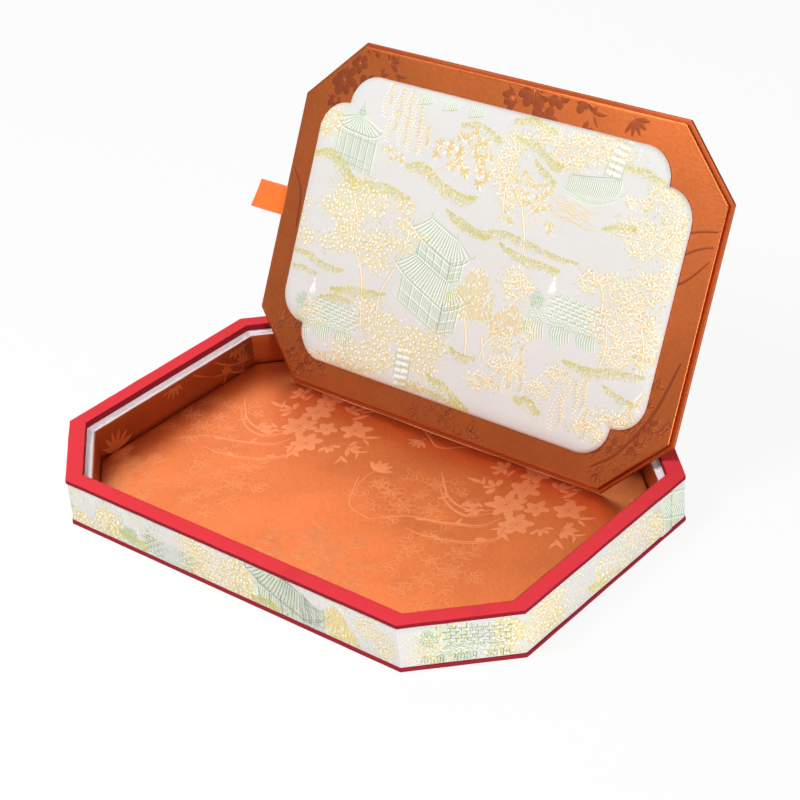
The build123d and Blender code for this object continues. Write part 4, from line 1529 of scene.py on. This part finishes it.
class BROCADEBOX_OT_floor(BoxOperator):
    """Makes the padded satin floor and its woven flowers"""
    bl_idname = "brocade_box.floor"
    bl_label = "Floor pad"

    def execute(self, context):
        ring = octagon_ring(FLOOR_INSET, 1.0)
        low, side = FLOOR_LOW, settings()[0].floor_side / MM
        rows = [(0.1, low), (-0.05, low + 0.2 * side), (-0.05, low + 0.8 * side), (0.02, low + 0.95 * side),
                (0.25, low + side)]
        pad = pad_piece("floor_pad", ring, rows, low, floor_level, 0.0, tray_place)
        dress(pad, copper_satin(), TRAY, "copper_satin", "floor_satin", "floor_wadding")
        loom = Loom(31)
        for x in (-70, 70):
            bouquet(loom, "light", x + 2, 26, 0.92)
            spray(loom, "light", x + 64, 12, 80, 1.3)
            spray(loom, "light", x + 66, 48, -100, 1.0)
            loom.line("light", [(x + 60, 4), (x + 66, -8), (x + 74, -20), (x + 90, -24)], 1.0)
            loom.line("light", [(x + 50, 62), (x + 66, 54), (x + 78, 48), (x + 92, 58)], 1.3)
        # The bouquets at the front are laid in the soft tint, painted shade a little darker than the ground.
        for x in (-120, 22):
            bouquet(loom, "soft", x, -58, 0.8, 200, edge="line", stems=False)
            bouquet(loom, None, x + 4, -4, 0.75, 60, edge="line", stems=False)
            bouquet(loom, None, x + 58, -38, 0.8, 150, edge="line", stems=False)

        def place(xy, lift):
            return tray_place(xy[:, 0], xy[:, 1], floor_level(xy) + lift)

        weave_figures(loom, "floor", place, lambda xy: octagon_depth(xy, FLOOR_INSET + 0.8) > 0, TRAY)
        return {"FINISHED"}


class BROCADEBOX_OT_lid(BoxOperator):
    """Covers the lid's two boards in copper satin"""
    bl_idname = "brocade_box.lid"
    bl_label = "Lid covers"

    def execute(self, context):
        angle = np.radians(np.linspace(0, 90, 5))
        sine, cosine = np.sin(angle), np.cos(angle)
        for side, inset, low, high, under_soft, over_soft, satin in (
            ("back", BACK_INSET, BACK_LOW, -GLUE_GAP, 0.55, 0.75, upright_shaded_satin()),
            ("front", FRONT_INSET, GLUE_GAP, FRONT_HIGH, 0.85, 0.5, copper_satin()),
        ):
            # Two quarter rounds, from the underside out to the edge and from there in to the top.
            rows = [(1.0, low), *zip(under_soft * (1 - sine), low + under_soft * (1 - cosine)),
                    *zip(over_soft * (1 - cosine), high - over_soft * (1 - sine))]

            def nearly_flat(points, level=high):
                x, y = points.T
                return level + 0.04 * np.sin(x / 23 + level) * np.sin(y / 19)

            ring = octagon_ring(inset, 0.9, side=30)
            cover = pad_piece(f"lid_{side}_cover", ring, rows, low, nearly_flat, 0.0, lid_place)
            dress(cover, satin, LID, "copper_satin", f"lid_{side}_satin")
        loom = Loom(41)
        # The front's figure is laid in the shaded tint, painted darker for the shade of a figure turned from the
        # light.
        bouquet(loom, "dull", -112, 76, 0.8, 30, stems=False)
        bouquet(loom, "dull", 14, 93, 0.9, -20, stems=False)
        spray(loom, "dull", 74, 90, -60, 1.2)
        for points in ([(118, 42), (126, 45), (136, 47)], [(117, 30), (126, 36), (137, 40)],
                       [(112, 12), (124, 20), (134, 32)], [(-134, 20), (-126, 8), (-124, -12)],
                       [(96, -84), (110, -72), (124, -48), (132, -20)]):
            loom.line("dull", points, 1.8)
        for x, y, turn in ((-100, -84, 140), (10, -96, 170), (116, -66, 100)):
            bouquet(loom, None, x, y, 0.7, turn, edge="dull", stems=False)

        def place(xy, lift):
            return lid_place(xy[:, 0], xy[:, 1], FRONT_HIGH + lift + THREAD_SUNK)

        weave_figures(loom, "lid", place, lambda xy: octagon_depth(xy, FRONT_INSET + 0.9) > 0, LID)
        back = Loom(43)
        for x in (-70, 70):
            bouquet(back, "light", x, 24)
            bouquet(back, "dull", x + 40, -46, 0.85, 200)
            spray(back, "light", x + 60, 50, -100)

        def behind(xy, lift):
            return lid_place(-xy[:, 0], xy[:, 1], BACK_LOW - lift)

        weave_figures(back, "lid_back", behind, lambda xy: octagon_depth(xy, BACK_INSET + 0.9) > 0, LID)
        return {"FINISHED"}


class BROCADEBOX_OT_panel(BoxOperator):
    """Makes the padded brocade panel with scalloped corners and weaves its landscape"""
    bl_idname = "brocade_box.panel"
    bl_label = "Brocade panel"

    def execute(self, context):
        side = settings()[0].panel_side / MM
        low = FRONT_HIGH + GLUE_GAP
        rows = [(0.25, low), (0.0, low + 0.3 * side), (-0.1, low + 0.6 * side), (0.0, low + side - 0.05)]
        pad = pad_piece("brocade_panel_pad", PANEL_RING, rows, low, panel_level, PANEL_SHIFT, lid_place)
        dress(pad, brocade_ground(), LID, "brocade", "panel_brocade", "panel_wadding")
        loom = Loom(51)
        landscape(loom)

        def place(xy, lift):
            return lid_place(xy[:, 0], xy[:, 1], panel_level(xy) + lift)

        def inside(xy):
            """Within the sides, and at a corner neither in the notch nor past the round of either lobe.
            p and q are distances in from the short and the long side, and each lobe's centre is one LOBE
            in from one of them."""
            x, y = np.abs(xy - (PANEL_SHIFT, 0)).T
            p, q = PANEL_LENGTH / 2 - x, PANEL_WIDTH / 2 - y
            far = 2 * LOBE + NOTCH
            held = (p > EDGE_BARE) & (q > EDGE_BARE) & (panel_depth(xy) > EDGE_BARE)
            notch = (p < LOBE) & (q < LOBE)
            lobe = np.minimum(np.hypot(p - LOBE, q - far), np.hypot(p - far, q - LOBE))
            outside = (p < far) & (q < far) & (lobe > LOBE - EDGE_BARE) & ((p < LOBE) | (q < LOBE))
            return held & ~notch & ~outside

        weave_brocade(loom, "panel", place, inside, LID)
        return {"FINISHED"}


class BROCADEBOX_OT_ribbon(BoxOperator):
    """Makes the folded ribbon tab that comes out between the lid's boards"""
    bl_idname = "brocade_box.ribbon"
    bl_label = "Ribbon"

    def execute(self, context):
        # Double-faced polyester satin ribbon: bright, with fine floats along its length.
        orange = cloth("orange_satin_ribbon", settings()[1].ribbon, "satin", 0.5, 0.02, uv=True, cast=0.04,
                       roughness=0.35, sheen_weight=0.3)
        inner = span("ribbon_tail")[1][0] - LID_MIDDLE[0]
        outer = span("ribbon_tab")[0][0] - LID_MIDDLE[0]
        # Half its width, how much longer one edge is than the other, where it comes free of the lid, and the
        # run over which it bows.
        half, slant_end, free_from, free_run = 8.2, 3.8, 138.5, 20.0
        t = np.linspace(0, 1, 40)[:, None]
        share = np.linspace(-1, 1, 13)[None, :]
        # Its folded end is cut on a slant. The part past the lid's edge bows a little, and its two layers
        # part there.
        reach = outer + (share + 1) / 2 * slant_end
        x = inner + (reach + 0.35 - inner) * t
        free = np.clip(-(x + free_from) / free_run, 0, 1)
        bow = 0.5 * np.sin(free * 2.4) + 0.25 * free * share ** 2
        gap = 0.13 + 0.28 * np.sin(free * math.pi) ** 1.5
        y = np.broadcast_to(share * half, x.shape)
        upper = np.stack((x, y, bow + gap), -1)
        lower = np.stack((x, y, bow - gap), -1)[::-1]
        turn = np.radians(np.linspace(90, -90, 7)[1:-1])
        fold = np.stack([np.stack((x[-1] - 0.3 * math.cos(a), y[-1], bow[-1] + gap[-1] * math.sin(a)), -1)
                         for a in turn])
        loop = np.concatenate((upper, fold, lower))
        points = lid_place(loop[..., 0], loop[..., 1], loop[..., 2])
        rows, columns = points.shape[:2]
        first = (np.arange(rows - 1)[:, None] * columns + np.arange(columns - 1)).ravel()
        faces = np.stack((first, first + 1, first + columns + 1, first + columns), -1)
        run = np.concatenate(([0], np.cumsum(np.linalg.norm(np.diff(loop[:, 6], axis=0), axis=1))))
        uv = np.stack(np.broadcast_arrays(run[:, None], loop[..., 1]), -1).reshape(-1, 2)[faces.ravel()]
        strap = make_piece("ribbon_strap", points.reshape(-1, 3), faces, uv, weld=True)
        skin = strap.modifiers.new("thickness", "SOLIDIFY")
        skin.thickness, skin.offset = 0.2 * MM, 0.0
        bpy.context.view_layer.objects.active = strap
        strap.select_set(True)
        bpy.ops.object.modifier_apply(modifier=skin.name)
        strap.data.materials.append(orange)
        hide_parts("ribbon_tail", "ribbon_tab")
        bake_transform(strap)
        return {"FINISHED"}


# Where the camera stands, in metres, how it is turned about the box, tilted down and rolled, in degrees,
# and its lens. They come from a fit to the corners of the tray and the lid.
CAMERA_PLACE = (0.6216, -0.6655, 0.5940)
CAMERA_TURNS = (40.88, 30.78, -4.25)
CAMERA_LENS, CAMERA_SHIFT = 94.635, -0.0375
# Half the width of the studio floor, how far it lies under the box, in millimetres, and the share of a
# shadow that is taken off it.
FLOOR_HALF, FLOOR_DROP = 4000.0, -0.05
SHADOW_TAKEN = 0.9


class BROCADEBOX_OT_stage(BoxOperator):
    """Sets up the floor, the soft lamps and the camera"""
    bl_idname = "brocade_box.stage"
    bl_label = "Stage"

    def execute(self, context):
        scene = context.scene
        stage = settings()[2]
        corner = np.array([(-1, -1, 0), (1, -1, 0), (1, 1, 0), (-1, 1, 0)]) * FLOOR_HALF + (0, 0, FLOOR_DROP)
        ground = make_piece("studio_floor", corner, np.array([[0, 1, 2, 3]]))
        sheet = bpy.data.materials.new("paper_sweep")
        sheet.use_nodes = True
        tree = sheet.node_tree
        paper = tree.nodes["Principled BSDF"]
        paper.inputs["Base Color"].default_value = rgba(srgb("#F2F2F2"))
        paper.inputs["Roughness"].default_value = 0.9
        paper.inputs["Specular IOR Level"].default_value = 0.2
        # White paper sweep: pure white to the camera and in gloss, with most of a shadow's depth taken off
        # it.
        white = add(tree, "ShaderNodeEmission", {"Color": (1, 1, 1, 1), "Strength": 1.0})
        path = add(tree, "ShaderNodeLightPath")
        seen = path.outputs["Is Camera Ray"]
        for ray in ("Is Glossy Ray", "Is Transmission Ray"):
            either = add(tree, "ShaderNodeMath", {0: seen, 1: path.outputs[ray]}, operation="MAXIMUM")
            seen = either.outputs[0]
        part = add(tree, "ShaderNodeMath", {0: seen, 1: SHADOW_TAKEN}, operation="MULTIPLY")
        blend = add(tree, "ShaderNodeMixShader", {0: part.outputs[0], 1: paper.outputs[0],
                                                  2: white.outputs[0]})
        tree.links.new(blend.outputs[0], tree.nodes["Material Output"].inputs["Surface"])
        ground.data.materials.append(sheet)

        world = bpy.data.worlds.new("white_room")
        scene.world = world
        world.use_nodes = True
        tree = world.node_tree
        back = tree.nodes["Background"]
        back.inputs["Strength"].default_value = stage.sky
        clear = add(tree, "ShaderNodeBackground", {"Color": (1, 1, 1, 1), "Strength": 1.0})
        back.inputs["Color"].default_value = (1, 1, 1, 1)
        path = add(tree, "ShaderNodeLightPath")
        blend = add(tree, "ShaderNodeMixShader", {0: path.outputs["Is Camera Ray"], 1: back.outputs[0],
                                                  2: clear.outputs[0]})
        tree.links.new(blend.outputs[0], tree.nodes["World Output"].inputs["Surface"])

        # Each lamp's power, and its width and place in metres.
        for name, watts, size, place in (
            ("key_softbox", stage.key, 0.5, (-0.3, -0.65, 1.05)),
            ("fill_softbox", stage.fill, 0.25, (1.15, -0.4, 0.12)),
            ("top_softbox", stage.top, 2, (-1.96, 1.24, 2.2)),
        ):
            lamp = bpy.data.lights.new(name, "AREA")
            lamp.energy, lamp.shape, lamp.size = watts, "SQUARE", size
            holder = bpy.data.objects.new(name, lamp)
            scene.collection.objects.link(holder)
            holder.location = place
            aim = np.array((0, 0, 0.03)) - np.array(place)
            holder.rotation_euler = Matrix(look_axes(aim).tolist()).to_euler()

        camera = bpy.data.cameras.new("camera")
        holder = bpy.data.objects.new("camera", camera)
        scene.collection.objects.link(holder)
        camera.sensor_width = 36.0
        camera.lens, camera.shift_x, camera.clip_start = CAMERA_LENS, CAMERA_SHIFT, 0.05
        turn, tilt, roll = np.radians(CAMERA_TURNS)
        right = np.array((math.cos(turn), math.sin(turn), 0.0))
        level = np.array((-math.sin(turn), math.cos(turn), 0.0))
        forward = level * math.cos(tilt) - (0, 0, math.sin(tilt))
        above = np.cross(right, forward)
        across = math.cos(roll) * right + math.sin(roll) * above
        upright = -math.sin(roll) * right + math.cos(roll) * above
        matrix = np.eye(4)
        matrix[:3, 0], matrix[:3, 1], matrix[:3, 2] = across, upright, -forward
        matrix[:3, 3] = CAMERA_PLACE
        holder.matrix_world = Matrix(matrix.tolist())
        scene.camera = holder
        scene.view_settings.view_transform = "Standard"
        return {"FINISHED"}


def look_axes(aim):
    """A turn whose backward axis is against aim and whose right side is level."""
    back = -aim / np.linalg.norm(aim)
    right = np.cross((0, 0, 1.0), back)
    right /= np.linalg.norm(right)
    return np.stack((right, np.cross(back, right), back), 1)


OPERATORS = (
    BROCADEBOX_OT_boards, BROCADEBOX_OT_base, BROCADEBOX_OT_wall, BROCADEBOX_OT_rim, BROCADEBOX_OT_ledge,
    BROCADEBOX_OT_liner, BROCADEBOX_OT_floor, BROCADEBOX_OT_lid, BROCADEBOX_OT_panel, BROCADEBOX_OT_ribbon,
    BROCADEBOX_OT_stage,
)
GROUPS = (
    ("brocade_box_sizes", BrocadeBoxSizes), ("brocade_box_colours", BrocadeBoxColours),
    ("brocade_box_stage", BrocadeBoxStage),
)


class BROCADEBOX_PT_sidebar(Panel):
    """Lists the box's settings and the steps that make it"""
    bl_idname = "BROCADEBOX_PT_sidebar"
    bl_label = "Brocade box"
    bl_space_type = "VIEW_3D"
    bl_region_type = "UI"
    bl_category = "Brocade box"

    def draw(self, context):
        for name, group in GROUPS:
            column = self.layout.column(heading=group.__doc__)
            for key in group.__annotations__:
                column.prop(getattr(context.scene, name), key)
        for operator in OPERATORS:
            self.layout.operator(operator.bl_idname)


def register():
    for name, group in GROUPS:
        bpy.utils.register_class(group)
        setattr(bpy.types.Scene, name, PointerProperty(type=group))
    for item in (*OPERATORS, BROCADEBOX_PT_sidebar):
        bpy.utils.register_class(item)


def unregister():
    for item in reversed((*OPERATORS, BROCADEBOX_PT_sidebar)):
        bpy.utils.unregister_class(item)
    for name, group in reversed(GROUPS):
        delattr(bpy.types.Scene, name)
        bpy.utils.unregister_class(group)


def main():
    register()
    for operator in OPERATORS:
        group, name = operator.bl_idname.split(".")
        getattr(getattr(bpy.ops, group), name)()


if __name__ == "__main__":
    main()
